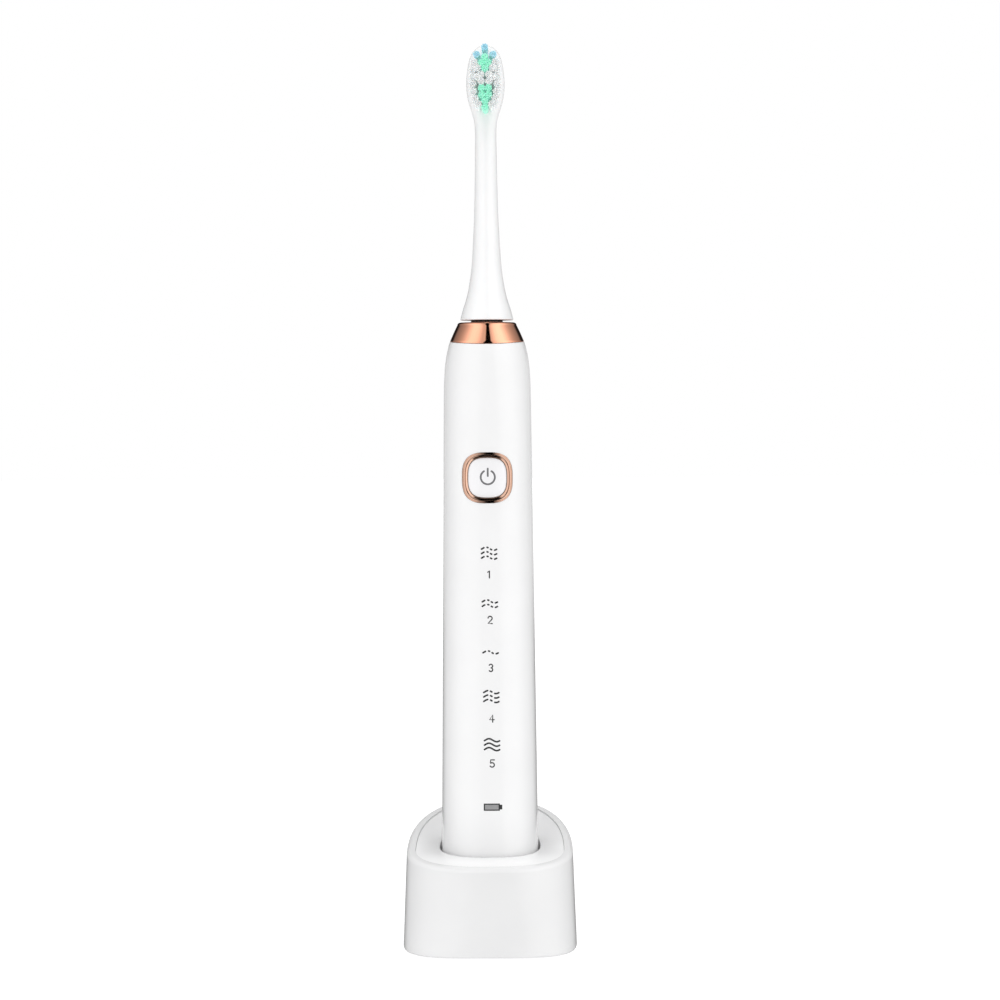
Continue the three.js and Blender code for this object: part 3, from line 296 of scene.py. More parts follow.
def shader(name):
    """A new material with its node tree, its shader and the object's own coordinates."""
    made = bpy.data.materials.new(name)
    made.use_nodes = True
    tree = made.node_tree
    coordinates = tree.nodes.new("ShaderNodeTexCoord")
    return made, tree, tree.nodes["Principled BSDF"], coordinates.outputs["Object"]


def fed(tree, node, inputs):
    """The node with its inputs set: each is a socket to link or a plain value."""
    for key, value in inputs.items():
        if isinstance(value, bpy.types.NodeSocket):
            tree.links.new(value, node.inputs[key])
        else:
            node.inputs[key].default_value = value
    return node


def new_node(tree, kind, inputs):
    return fed(tree, tree.nodes.new(f"ShaderNode{kind}"), inputs)


def noise(tree, where, scale, detail=3.0, stretch=None):
    """A noise texture's factor; scale is in features per metre."""
    if stretch:
        where = new_node(tree, "Mapping", {"Vector": where, "Scale": stretch}).outputs["Vector"]
    texture = new_node(tree, "TexNoise", {"Vector": where, "Scale": scale, "Detail": detail})
    return texture.outputs["Fac"]


def spread(tree, factor, low, high):
    """Maps a noise factor's middle range to low..high."""
    node = new_node(tree, "MapRange", {"Value": factor, "From Min": 0.3, "From Max": 0.7,
                                       "To Min": low, "To Max": high})
    return node.outputs["Result"]


def tinted(tree, factor, first, second):
    """Mixes two colours by a factor."""
    node = new_node(tree, "Mix", {"Factor": factor, 6: (*first, 1), 7: (*second, 1)})
    node.data_type = "RGBA"
    return node.outputs[2]


def surface(name, color, second, roughness, clouds_scale, grain, bump, metallic=0.0,
            stretch=None, specular=0.5, subsurface=0.0, painted_fill_glow=None):
    """The common recipe: two close colours in soft clouds, uneven roughness and a fine bump.

    The clouds and the grain are in features per metre, and the bump is in metres.
    """
    made, tree, bsdf, where = shader(name)
    clouds = noise(tree, where, clouds_scale, 4.0, stretch)
    fine = noise(tree, where, grain, stretch=stretch)
    fed(tree, bsdf, {
        "Base Color": tinted(tree, spread(tree, clouds, 0, 1), color, second),
        "Roughness": spread(tree, fine, *roughness),
        "Normal": new_node(tree, "Bump", {"Height": fine, "Distance": bump}).outputs["Normal"],
        "Metallic": metallic, "Specular IOR Level": specular,
        "Subsurface Weight": subsurface, "Subsurface Radius": (0.0012, 0.001, 0.0009),
    })
    # Painted light: the emission brightens the surface as if lit, though it is no lamp.
    if painted_fill_glow:
        fed(tree, bsdf, {"Emission Color": (*painted_fill_glow, 1), "Emission Strength": 1.0})
    return made


GLOSS_WHITE = surface(
    "gloss_white_abs", (0.86, 0.86, 0.863), (0.835, 0.835, 0.838), (0.1, 0.16),
    60, 1400, 1.2e-6, specular=0.35)
# A darker copy of the gloss white for the charger's housing: painted shade that makes the base read
# dimmer than the handle.
BASE_WHITE_PAINTED_SHADE = surface(
    "base_white_abs_painted_shade", (0.785, 0.785, 0.788), (0.76, 0.76, 0.763), (0.1, 0.16),
    60, 1400, 1.2e-6, specular=0.35)
BUTTON_WHITE = surface(
    "button_white_abs", (0.86, 0.855, 0.868), (0.84, 0.835, 0.848), (0.2, 0.28),
    120, 2600, 2e-6)
CRADLE_WHITE = surface(
    "cradle_white_abs", (0.87, 0.87, 0.873), (0.845, 0.845, 0.848), (0.12, 0.2),
    60, 1600, 2e-6, specular=0.35)
SATIN_WHITE = surface(
    "satin_white_abs", (0.8, 0.8, 0.8), (0.75, 0.75, 0.755), (0.38, 0.5),
    150, 3200, 1e-5)
NECK_WHITE = surface(
    "neck_white_pp", (0.9, 0.9, 0.903), (0.875, 0.877, 0.88), (0.2, 0.27),
    90, 2200, 3e-6, subsurface=0.08)
ROSE_GOLD = surface(
    "rose_gold_plating", (0.74, 0.36, 0.235), (0.71, 0.34, 0.22), (0.03, 0.07),
    90, 2400, 6e-7, 1.0)
# A greyer, duller copy of the collar's rose gold for the button's ring: painted light that imitates
# the ring's washed-out highlights; the plating is the same.
ROSE_GOLD_PAINTED_WASHOUT = surface(
    "rose_gold_painted_washout", (0.46, 0.295, 0.222), (0.43, 0.27, 0.2), (0.03, 0.07),
    90, 2400, 6e-7, 1.0)
BLACK_SILICONE = surface(
    "black_silicone", (0.012, 0.012, 0.013), (0.02, 0.02, 0.021), (0.45, 0.62),
    200, 2800, 1e-5)
FOOT_RUBBER = surface(
    "foot_rubber", (0.42, 0.43, 0.44), (0.36, 0.37, 0.38), (0.7, 0.85),
    260, 2600, 3e-5)
DARK_NYLON = surface(
    "dark_nylon", (0.03, 0.03, 0.033), (0.045, 0.045, 0.048), (0.4, 0.55),
    220, 2600, 1e-5)
STEEL = surface(
    "turned_steel", (0.56, 0.57, 0.59), (0.48, 0.49, 0.51), (0.2, 0.34),
    300, 5000, 4e-6, 1.0, stretch=(0.15, 0.15, 1.0))


def ink(name, color, second):
    return surface(name, color, second, (0.4, 0.55), 900, 7000, 4e-6)


def nylon(name, color, second, painted_fill_glow):
    """Its emission is painted light that brightens the shaded gaps between the tufts, standing in
    for the light that thin translucent nylon passes on from tuft to tuft.
    """
    return surface(name, color, second, (0.3, 0.42), 1500, 6000, 4e-6, subsurface=0.3,
                   painted_fill_glow=painted_fill_glow)


PRINT_DARK = ink("printed_ink_dark", (0.012, 0.012, 0.013), (0.018, 0.018, 0.019))
PRINT_GREY = ink("printed_ink_grey", (0.13, 0.13, 0.135), (0.16, 0.16, 0.165))
PRINT_FILL = ink("printed_ink_fill", (0.26, 0.26, 0.265), (0.29, 0.29, 0.295))
# Each nylon's last colour is painted light: an emission that brightens the shaded gaps between the
# tufts.
NYLON_WHITE = nylon("nylon_white", (0.96, 0.98, 0.98), (0.9, 0.93, 0.93), (0.05, 0.051, 0.051))
NYLON_GREEN = nylon("nylon_mint", (0.3, 0.93, 0.62), (0.52, 0.98, 0.8), (0.06, 0.09, 0.1))
NYLON_BLUE = nylon("nylon_blue", (0.28, 0.66, 0.85), (0.52, 0.82, 0.95), (0.08, 0.09, 0.065))

SLOT_LOOKS = {
    "white_gloss": GLOSS_WHITE, "white_satin": SATIN_WHITE, "rose_gold": ROSE_GOLD,
    "black_rubber": BLACK_SILICONE, "foot_grey": FOOT_RUBBER, "dark_plastic": DARK_NYLON,
    "steel": STEEL, "nylon_white": NYLON_WHITE, "nylon_green": NYLON_GREEN,
    "nylon_blue": NYLON_BLUE,
    "grey_plastic": surface(
        "grey_acetal", (0.32, 0.33, 0.34), (0.27, 0.28, 0.29), (0.3, 0.42), 220, 2600, 1e-5),
    "copper_winding": surface(
        "enamelled_copper", (0.62, 0.24, 0.08), (0.5, 0.17, 0.05), (0.2, 0.34),
        900, 5200, 6e-5, 1.0, stretch=(0.05, 0.05, 1.0)),
    "bronze": surface(
        "sintered_bronze", (0.5, 0.32, 0.14), (0.42, 0.26, 0.1), (0.35, 0.5), 500, 4200, 2e-5, 1.0),
    "ferrite": surface(
        "fired_ferrite", (0.02, 0.02, 0.023), (0.035, 0.034, 0.036), (0.45, 0.6), 500, 4200, 3e-5),
    "magnet": surface(
        "nickel_plated_magnet", (0.52, 0.52, 0.5), (0.46, 0.46, 0.45), (0.12, 0.22),
        300, 3600, 3e-6, 1.0),
    "board_green": surface(
        "green_board", (0.015, 0.12, 0.045), (0.02, 0.16, 0.06), (0.3, 0.45), 900, 3200, 2e-5),
    "cell_wrap": surface(
        "cell_shrink_wrap", (0.03, 0.16, 0.42), (0.04, 0.2, 0.5), (0.2, 0.3), 180, 1800, 1e-5),
    "nickel": surface(
        "nickel_strip", (0.58, 0.55, 0.48), (0.5, 0.48, 0.42), (0.2, 0.32),
        300, 3600, 5e-6, 1.0, stretch=(1.0, 0.2, 1.0)),
    "led_lens": surface(
        "indicator_lens", (0.8, 0.86, 0.8), (0.74, 0.8, 0.74), (0.1, 0.18), 300, 3000, 3e-6),
}


def dress_cad_nodes():
    """Every CAD node takes the look of its slot; the fine pieces hide some of them."""
    for entry in frame["record"]["subparts"]:
        node = frame["nodes"][entry["node"]]
        look = SLOT_LOOKS[entry["material_slot"]]
        for material_slot in node.material_slots:
            material_slot.material = look


def finish_piece(piece, look, body, slot_name, *nodes):
    """Gives a piece its look and body, and the CAD nodes that it replaces, if any; the slot name is
    not used.
    """
    piece.data.materials.clear()
    piece.data.materials.append(look)
    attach(piece, body)
    if nodes:
        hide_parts(*nodes)


# ------------------------------------------------------------------ handle

SHELL_WALL = 1.4
SEAM_GROOVE = 0.14  # visible gap between the shell and its neighbours
CAP_FLANGE = 1.5  # thickness of the bottom cap's visible edge
RING_HALF_X = 7.42
RING_HALF_Z = 7.45
BORE_HALF_X = 5.85
BORE_HALF_Z = 6.02
BUTTON_CLEARANCE = 0.14
# across the button's ring, from its bore outward: share of the width, height above the handle
FRAME_SECTION = (
    (0.0, -0.42), (0.08, -0.32), (0.16, -0.22), (0.24, -0.12), (0.32, -0.02),  # inner bevel
    (0.34, -0.3), (0.45, -0.3),  # deep groove
    (0.47, 0.27), (0.5, 0.32), (0.54, 0.335), (0.6, 0.32), (0.66, 0.295), (0.715, 0.26),  # crest
    (0.735, 0.12), (0.79, 0.12),  # fine groove
    (0.81, 0.205), (0.85, 0.195), (0.91, 0.155), (0.96, 0.115), (1.0, 0.065),  # outer slope
)


def front_contour(half_x, half_z, y_at, sides=160):
    """A closed line with the button's outline; y_at gives y at (x, z)."""
    def point(angle):
        r = squircle_radius(angle, half_x, half_z, BUTTON_EXPONENT)
        x = r * cos(angle)
        z = BUTTON_Z + r * sin(angle)
        return Vector((x, y_at(x, z), z))
    return ring(point, sides)


def front_cutter(name, half_x, half_z, back_at):
    """A plug with the button's outline, from back_at to well in front of the handle."""
    far = HANDLE_Y - 22
    return lofted(name, [
        front_contour(half_x, half_z, back_at),
        front_contour(half_x, half_z, lambda x, z: far),
    ])


def handle_casing():
    """The white shell, with the ring's recess and the button's opening cut into its front."""
    low = HANDLE_BOTTOM + CAP_FLANGE + SEAM_GROOVE
    recess_clearance, recess_depth = 0.07, 0.3
    opening_margin, opening_back = 0.5, HANDLE_Y - 8
    # each edge's rounding, as (inset, distance from the edge)
    low_edge = ((0.12, 0.0), (0.04, 0.05), (0.0, 0.13))
    top_edge = ((0.0, 0.16), (0.02, 0.08), (0.06, 0.03), (0.13, 0.0))
    shoulder_end = SEAM_Z - SEAM_DIP - 0.6
    heights = [low + low_edge[-1][1] + (SHOULDER_Z - low) * i / 60 for i in range(1, 60)]
    heights += [SHOULDER_Z + (shoulder_end - SHOULDER_Z) * i / 26 for i in range(27)]
    outside = [handle_ring(low + d, i) for i, d in low_edge]
    outside += [handle_ring(z) for z in heights]
    outside += [ring(lambda a: handle_point(a, seam_z(a) - d, i), HANDLE_SIDES)
                for i, d in top_edge]
    inside = [ring(lambda a: handle_point(a, seam_z(a), SHELL_WALL), HANDLE_SIDES)]
    inside += [handle_ring(z, SHELL_WALL)
               for z in (SEAM_Z - 5, SEAM_Z - 12, SHOULDER_Z, 122, 82, 42, low)]
    shell = lofted("handle_casing", outside + inside, closed=True)
    recess = front_cutter("recess", RING_HALF_X + recess_clearance, RING_HALF_Z + recess_clearance,
                          lambda x, z: handle_front_y(x, z, -recess_depth))
    opening = front_cutter("opening", BORE_HALF_X + opening_margin, BORE_HALF_Z + opening_margin,
                           lambda x, z: opening_back)
    carve(shell, recess, opening, sharp_degrees=28)
    finish_piece(shell, GLOSS_WHITE, "handle", "white_gloss", "handle_shell")


def collar_band():
    """The plated collar: a slightly hollow cone with a rounded top and a hole for the seal."""
    wall, hole, chamfer, hollow = 1.3, 4.4, 0.15, 0.05
    rounding, round_in = 0.8, 0.95  # height and width of the rounded top edge
    low_edge = ((0.12, 0.0), (0.04, 0.04), (0.0, 0.12))
    first, last = SEAM_Z + 0.5, COLLAR_TOP - rounding
    under = COLLAR_TOP - 1.2
    outside = [ring(lambda a: collar_point(a, seam_z(a) + SEAM_GROOVE * 0.6 + d, i),
                    HANDLE_SIDES) for i, d in low_edge]
    for z in (lerp(first, last, i / 14) for i in range(15)):
        bulge = -hollow * sin(pi * clamped_ramp(z, first, last))
        outside.append(ring(lambda a: collar_point(a, z, bulge), HANDLE_SIDES))
    top = [(collar_half(last) - round_in * (1 - cos(t)), last + rounding * sin(t))
           for t in arc_steps(8, 12, 90)]
    inside = [(hole + chamfer, COLLAR_TOP), (hole, COLLAR_TOP - chamfer), (hole, under),
              (collar_half(under) - wall, under)]
    foot = ring(lambda a: collar_point(a, seam_z(a) + 0.2, wall), HANDLE_SIDES)
    band = lofted("collar_band", outside + circles(HANDLE_SIDES, *top, *inside) + [foot],
                  closed=True)
    finish_piece(band, ROSE_GOLD, "handle", "rose_gold", "collar_ring")


def button_frame():
    """The polished ring: an inner bevel and a sloping outer band, with two fine grooves."""
    def contour(share, proud):
        half_x = lerp(BORE_HALF_X, RING_HALF_X, share)
        half_z = lerp(BORE_HALF_Z, RING_HALF_Z, share)
        return front_contour(half_x, half_z, lambda x, z: handle_front_y(x, z, proud), 192)

    skirt = -1.3
    rings = [contour(0.0, skirt)]
    rings += [contour(share, proud) for share, proud in FRAME_SECTION]
    rings += [contour(1.0, -0.2), contour(0.32, -0.28), contour(0.3, skirt)]
    band = lofted("button_frame", rings, closed=True, sharp_degrees=24)
    finish_piece(band, ROSE_GOLD_PAINTED_WASHOUT, "handle", "rose_gold", "button_ring")


def button_face_y(x, z):
    """The button's face: the handle's surface, sunk a little and more so towards its edge."""
    sunk, edge_drop = 0.12, 0.22
    reach = max(abs(x) / BORE_HALF_X, abs(z - BUTTON_Z) / BORE_HALF_Z)
    return handle_front_y(x, z, -sunk - edge_drop * reach ** 6)


def button_cap():
    """The button's plate with its stem behind."""
    half_x = BORE_HALF_X - BUTTON_CLEARANCE
    half_z = BORE_HALF_Z - BUTTON_CLEARANCE
    rounding = 0.35
    back = BUTTON_BACK_Y - 0.6

    def contour(inset, drop):
        return front_contour(half_x - inset, half_z - inset,
                             lambda x, z: button_face_y(x, z) + drop)

    rings = [front_contour(STEM_RADIUS, STEM_RADIUS, lambda x, z: BUTTON_BACK_Y),
             front_contour(STEM_RADIUS, STEM_RADIUS, lambda x, z: back),
             front_contour(half_x, half_z, lambda x, z: back)]
    rings += [contour(inset, drop) for inset, drop in rounded(rounding, 7)]
    rings += [contour(lerp(rounding, half_x, s), 0.0) for s in (0.12, 0.3, 0.5, 0.7, 0.88)]
    finish_piece(lofted("button_cap", rings), BUTTON_WHITE, "power_button", "white_gloss",
                 "power_button")


def handle_foot():
    """The cap under the handle: a flange, a plug inside the shell and the post's socket."""
    flange_top = HANDLE_BOTTOM + CAP_FLANGE
    rounding = 0.6
    plug_inset, plug_top = 2.0, STAND_Z + 24.8
    boss, vent = 5.9, 0.8  # radii of the socket's outside and of the hole at its end
    socket, chamfer = POST_RADIUS + 0.55, 0.5
    socket_top = POST_TOP + 0.8
    outside = [handle_ring(HANDLE_BOTTOM + up, inset) for up, inset in rounded(rounding, 6)]
    outside += [handle_ring(z, inset) for z, inset in (
        (flange_top - 0.1, 0.0), (flange_top, 0.1), (flange_top, plug_inset),
        (plug_top, plug_inset))]
    inside = circles(
        HANDLE_SIDES, (boss, plug_top), (boss, CAP_TOP), (vent, CAP_TOP), (vent, socket_top),
        (socket - chamfer, socket_top), (socket, socket_top - chamfer),
        (socket, HANDLE_BOTTOM + 0.6), (socket + chamfer, HANDLE_BOTTOM))
    cap = lofted("handle_foot", outside + inside, closed=True)
    finish_piece(cap, SATIN_WHITE, "handle", "white_gloss", "bottom_cap")


def seal_boot():
    """The shaft's seal: a flange inside, a lip over the collar's hole and three folds above."""
    bore, flange, body, lip, valley = 2.1, 6.4, 4.05, 4.75, 3.8
    low, top = SEAL_LOW.z, SEAL_HIGH.z
    lip_z = COLLAR_TOP + 0.12
    fold_pitch = 0.85
    profile = [(bore, low), (flange, low), (flange, low + 0.4), (body, low + 0.5), (body, lip_z),
               (lip, lip_z), (lip, lip_z + 0.42), (body, lip_z + 0.5)]
    for i in range(3):
        fold = lip_z + 0.5 + fold_pitch * i
        profile += [(valley, fold + 0.2), (valley, fold + 0.4),
                    (body, fold + 0.6), (body, fold + 0.8)]
    profile += [(3.7, top - 0.2), (3.2, top), (bore, top)]
    boot = lofted("seal_boot", circles(ROD_SIDES, *profile), closed=True)
    finish_piece(boot, BLACK_SILICONE, "handle", "black_rubber", "shaft_seal")


# ------------------------------------------------------------------ printed signs on the handle

INK_PROUD = 0.02
INK_SUNK = 0.04
SIGN_WIDTH = 4.95
SIGN_STROKE = 0.5
SIGN_ROW = 1.32  # from one wave to the next
SIGN_WAVE = 0.46  # height of a crest over the wave's middle
SIGN_TURNS, SIGN_PHASE = 0.97, 0.04  # length and start of a wave, in full turns
SIGN_HEIGHTS = (116.1, 101.2, 86.8, 73.7, 59.4)  # of the waves' middles, in the handle's frame
NUMBER_HEIGHTS = (109.9, 96.4, 82.2, 67.2, 53.8)
NUMBER_HEIGHT = 2.15
NUMBER_STROKE = 0.36
BATTERY_Z = STAND_Z + 40.8
MODE_ROWS = (3, 2, 1, 3, 3)
# dashes of each mode's rows, as (start, end) shares of the sign's width
DOTTED = ((0.0, 0.16), (0.37, 0.43), (0.6, 0.67), (0.87, 1.0))
DASHED = ((0.0, 0.26), (0.45, 0.54), (0.73, 1.0))
SOLID = ((0.0, 1.0),)
MODE_DASHES = (DOTTED, DOTTED, DOTTED, DASHED, SOLID)


def column_x(z):
    """The printed column stands a little right of the middle and leans outward downwards."""
    lowest, highest = 1.1, 0.4
    return lerp(lowest, highest, clamped_ramp(z, BATTERY_Z, STAND_Z + SIGN_HEIGHTS[0]))


def ink_solid(points, on_surface):
    """A thin closed strip between paired (left, right) edge points on a surface."""
    edge_points = [point for pair in points for point in pair]
    verts = [Vector((x, on_surface(x, z) + depth, z))
             for depth in (-INK_PROUD, INK_SUNK) for x, z in edge_points]
    n = len(edge_points)
    faces = []
    for a in range(0, n - 2, 2):
        b, c, d = a + 1, a + 3, a + 2
        faces += [(a, b, c, d), (n + d, n + c, n + b, n + a),
                  (a, d, n + d, n + a), (b, n + b, n + c, c)]
    faces += [(0, n, n + 1, 1), (n - 2, n - 1, 2 * n - 1, 2 * n - 2)]
    return verts, faces


def stroke(path, width, on_surface):
    """A line of ink with round ends along a path of (x, z) points."""
    def direction(i):
        a = path[max(0, i - 1)]
        b = path[min(len(path) - 1, i + 1)]
        length = hypot(b[0] - a[0], b[1] - a[1])
        return (b[0] - a[0]) / length, (b[1] - a[1]) / length

    def edges(x, z, dx, dz, half):
        return (x - dz * half, z + dx * half), (x + dz * half, z - dx * half)

    def round_end(i, degrees):
        (x, z), (dx, dz) = path[i], direction(i)
        along = half * sin(radians(degrees))
        return edges(x + dx * along, z + dz * along, dx, dz,
                     half * cos(radians(degrees)))

    half = width / 2
    last = len(path) - 1
    rows = [round_end(0, degrees) for degrees in (-70, -45, -20)]
    rows += [edges(x, z, *direction(i), half) for i, (x, z) in enumerate(path)]
    rows += [round_end(last, degrees) for degrees in (20, 45, 70)]
    return ink_solid(rows, on_surface)


def wave_sign(centre_x, middle_z, rows, dashes):
    """Rows of one wave, each row cut into dashes."""
    inner = SIGN_WIDTH - SIGN_STROKE
    solids = []
    for row in range(rows):
        level = middle_z + (row - (rows - 1) / 2) * SIGN_ROW
        for start, end in dashes:
            steps = max(4, round(24 * (end - start)))
            shares = [lerp(start, end, i / steps) for i in range(steps + 1)]
            path = [(centre_x + (s - 0.5) * inner,
                     level + SIGN_WAVE * sin(TAU * (s * SIGN_TURNS - SIGN_PHASE)))
                    for s in shares]
            solids.append(stroke(path, SIGN_STROKE, handle_front_y))
    return solids


def arc_path(x, z, radius, start, end, steps=10):
    """Points on an arc about (x, z), from start to end degrees."""
    return [(x + radius * cos(radians(lerp(start, end, i / steps))),
             z + radius * sin(radians(lerp(start, end, i / steps))))
            for i in range(steps + 1)]


def number_path(number, x, z, height):
    """The line of a numeral from 1 to 5, centred on (x, z)."""
    h = height / 2
    w = height * 0.28
    if number == 1:
        return [(x - w * 0.8, z + h * 0.55), (x, z + h), (x, z - h)]
    if number == 2:
        return arc_path(x, z + h - w, w, 170, -25) + [(x - w, z - h), (x + w, z - h)]
    if number == 3:
        upper = arc_path(x, z + h * 0.5, h * 0.5, 150, -90)
        lower = arc_path(x, z - h * 0.5, h * 0.5, 90, -150)
        return upper + lower[1:]
    if number == 4:
        return [(x + w * 0.5, z - h), (x + w * 0.5, z + h), (x - w, z - h * 0.35),
                (x + w * 1.2, z - h * 0.35)]
    bowl = arc_path(x - w * 0.1, z - h + w * 1.1, w * 1.1, 130, -150)
    return [(x + w, z + h), (x - w * 0.8, z + h), (x - w * 0.9, z + h * 0.12)] + bowl


def mode_signs():
    """Five wave signs, each with its numeral below."""
    modes = zip(SIGN_HEIGHTS, NUMBER_HEIGHTS, MODE_ROWS, MODE_DASHES)
    for number, (sign_height, number_height, rows, dashes) in enumerate(modes, 1):
        z = STAND_Z + sign_height
        sign = merged(f"mode_sign_{number}", wave_sign(column_x(z), z, rows, dashes))
        finish_piece(sign, PRINT_DARK, "handle", "dark_plastic")
        z = STAND_Z + number_height
        path = number_path(number, column_x(z), z, NUMBER_HEIGHT)
        numeral = merged(f"mode_number_{number}", [stroke(path, NUMBER_STROKE, handle_front_y)])
        finish_piece(numeral, PRINT_DARK, "handle", "dark_plastic")


def ink_rectangle(x0, x1, z0, z1):
    """A rectangle of ink on the handle, in strips that follow its curve."""
    columns = [lerp(x0, x1, i / 8) for i in range(9)]
    return ink_solid([((x, z1), (x, z0)) for x in columns], handle_front_y)


def battery_sign():
    """The battery's outline with its nub, and the grey fill."""
    width, height, line = 4.75, 2.15, 0.36
    nub, nub_half = 0.72, 0.7
    x = column_x(BATTERY_Z) - nub / 2
    left, right = x - width / 2, x + width / 2
    low, high = BATTERY_Z - height / 2, BATTERY_Z + height / 2
    outline = [
        ink_rectangle(left, right, high - line, high),
        ink_rectangle(left, right, low, low + line),
        ink_rectangle(left, left + line, low + line, high - line),
        ink_rectangle(right - line, right, low + line, high - line),
        ink_rectangle(right, right + nub, BATTERY_Z - nub_half, BATTERY_Z + nub_half),
    ]
    finish_piece(merged("battery_outline", outline), PRINT_DARK, "handle", "dark_plastic")
    fill = ink_rectangle(left + line, right - line, low + line, high - line)
    finish_piece(merged("battery_fill", [fill]), PRINT_FILL, "handle", "grey_plastic")


def power_sign():
    """An open circle with a bar at its gap, on the button."""
    radius, width = 2.08, 0.54
    x, z = 0.15, BUTTON_Z + 0.17
    open_half = 32  # degrees
    bar_low, bar_high = z + 0.35, z + 2.5
    open_circle = arc_path(x, z, radius, 90 + open_half, 450 - open_half, 44)
    bar = [(x, lerp(bar_low, bar_high, i / 4)) for i in range(5)]
    solids = [stroke(path, width, button_face_y) for path in (open_circle, bar)]
    finish_piece(merged("power_sign", solids), PRINT_GREY, "power_button", "dark_plastic")


# ------------------------------------------------------------------ drive and brush head

HEAD_STATIONS = tuple((STAND_Z + z, *rest) for z, *rest in (
    # height in the handle's frame, half width, half depth, centre y, exponent
    (184.8, 8.0, 8.0, 0.0, 2.0), (187.8, 7.2, 7.2, 0.0, 2.0), (190.8, 6.24, 6.24, 0.0, 2.0),
    (193.8, 5.5, 5.5, 0.0, 2.0), (199.7, 4.58, 4.58, 0.0, 2.0), (205.7, 4.12, 4.12, 0.0, 2.0),
    (214.6, 3.65, 3.6, 0.0, 2.0), (223.4, 3.4, 3.2, 0.1, 2.0), (235.3, 3.2, 2.75, 0.2, 2.1),
    (241.2, 3.18, 2.5, 0.3, 2.2), (244.1, 3.5, 2.42, 0.3, 2.3), (247.0, 4.35, 2.38, 0.3, 2.4),
    (250.0, 5.23, 2.33, 0.3, 2.5), (254.5, 5.7, 2.3, 0.3, 2.5), (258.8, 5.35, 2.3, 0.3, 2.5),
    (261.8, 4.75, 2.3, 0.3, 2.5), (263.4, 4.1, 2.25, 0.3, 2.4), (264.8, 3.05, 2.0, 0.3, 2.3),
    (265.6, 1.9, 1.5, 0.3, 2.1), (265.9, 0.8, 0.7, 0.3, 2.0),
))
HEAD_DOME_Z = STAND_Z + 261
HEAD_SIDES = 96


def catmull_rom(stations, column, z):
    """A column's value at a height, on a smooth curve through the stations."""
    last = len(stations) - 2
    i = next((k for k in range(last + 1) if stations[k + 1][0] >= z), last)
    before, low, high = stations[max(0, i - 1)], stations[i], stations[i + 1]
    after = stations[min(last + 1, i + 2)]
    span = high[0] - low[0]
    t = (z - low[0]) / span

    def slope(a, b):
        return (b[column] - a[column]) / (b[0] - a[0]) * span if b[0] != a[0] else 0.0

    m0, m1 = slope(before, high), slope(low, after)
    return (low[column] * (2 * t ** 3 - 3 * t ** 2 + 1) + m0 * (t ** 3 - 2 * t ** 2 + t)
            + high[column] * (3 * t ** 2 - 2 * t ** 3) + m1 * (t ** 3 - t ** 2))


def head_section(z, inset=0.0):
    half_x, half_y, centre_y, exponent = (catmull_rom(HEAD_STATIONS, c, z) for c in (1, 2, 3, 4))

    def point(angle):
        r = squircle_radius(angle, half_x - inset, half_y - inset, exponent)
        return Vector((r * cos(angle), HANDLE_Y + centre_y + r * sin(angle), z))
    return ring(point, HEAD_SIDES)


def brush_neck():
    """The neck and the head's back, with the stepped socket that opens over the shaft."""
    socket, mouth = 3.2, 5.2
    floor, step = SHAFT_HIGH.z + 1, STAND_Z + 189
    mouth_edge = ((0.0, 0.25), (0.08, 0.08), (0.3, 0.0))  # (distance up, inset)
    tip = HEAD_TOP - 0.02
    outside = [head_section(HEAD_BOTTOM + up, inset) for up, inset in mouth_edge]
    outside += [head_section(lerp(HEAD_BOTTOM + mouth_edge[-1][0], HEAD_DOME_Z, i / 130))
                for i in range(1, 131)]
    outside += [head_section(lerp(HEAD_DOME_Z, tip, sin(t))) for t in arc_steps(26)[1:]]
    inside = circles(HEAD_SIDES, (0.4, floor), (socket, floor), (socket, step), (mouth, step),
                     (mouth, HEAD_BOTTOM + 0.2), (mouth + 0.2, HEAD_BOTTOM))
    neck = lofted("brush_neck", inside + outside)
    finish_piece(neck, NECK_WHITE, "brush_head", "white_gloss", "brush_body")


def d_section(radius, flat, z):
    """A circle with its front cut off, at a distance of flat from the axis."""
    def point(angle):
        x, y = radius * cos(angle), radius * sin(angle)
        return Vector((x, HANDLE_Y + max(y, -flat), z))
    return ring(point, ROD_SIDES)


def shaft_rod():
    """The shaft, round below and D-shaped at its upper end."""
    radius = (SHAFT_HIGH.x - SHAFT_LOW.x) / 2
    flat, flat_low = 1.3, STAND_Z + 188.8
    chamfer, tip_chamfer = 0.2, 0.35
    rings = circles(ROD_SIDES, (radius - chamfer, SHAFT_LOW.z), (radius, SHAFT_LOW.z + chamfer),
                    (radius, flat_low))
    rings += [d_section(radius, flat, flat_low + 0.05),
              d_section(radius, flat, SHAFT_HIGH.z - 0.4),
              d_section(radius - tip_chamfer, flat - chamfer, SHAFT_HIGH.z)]
    finish_piece(lofted("shaft_rod", rings), STEEL, "drive", "steel", "drive_shaft")


def coupler_sleeve():
    """The sleeve in the neck that grips the shaft's flat."""
    low, high = box_mm("brush_coupler")
    outer = (high.x - low.x) / 2
    bore, flat, lead_in, chamfer = 1.95, 1.45, 0.15, 0.2
    rings = [d_section(bore, flat, low.z + chamfer),
             d_section(bore + lead_in, flat + lead_in, low.z)]
    rings += circles(ROD_SIDES, (outer - chamfer, low.z), (outer, low.z + chamfer),
                     (outer, high.z))
    rings.append(d_section(bore, flat, high.z))
    sleeve = lofted("coupler_sleeve", rings, closed=True)
    finish_piece(sleeve, DARK_NYLON, "brush_head", "dark_plastic", "brush_coupler")


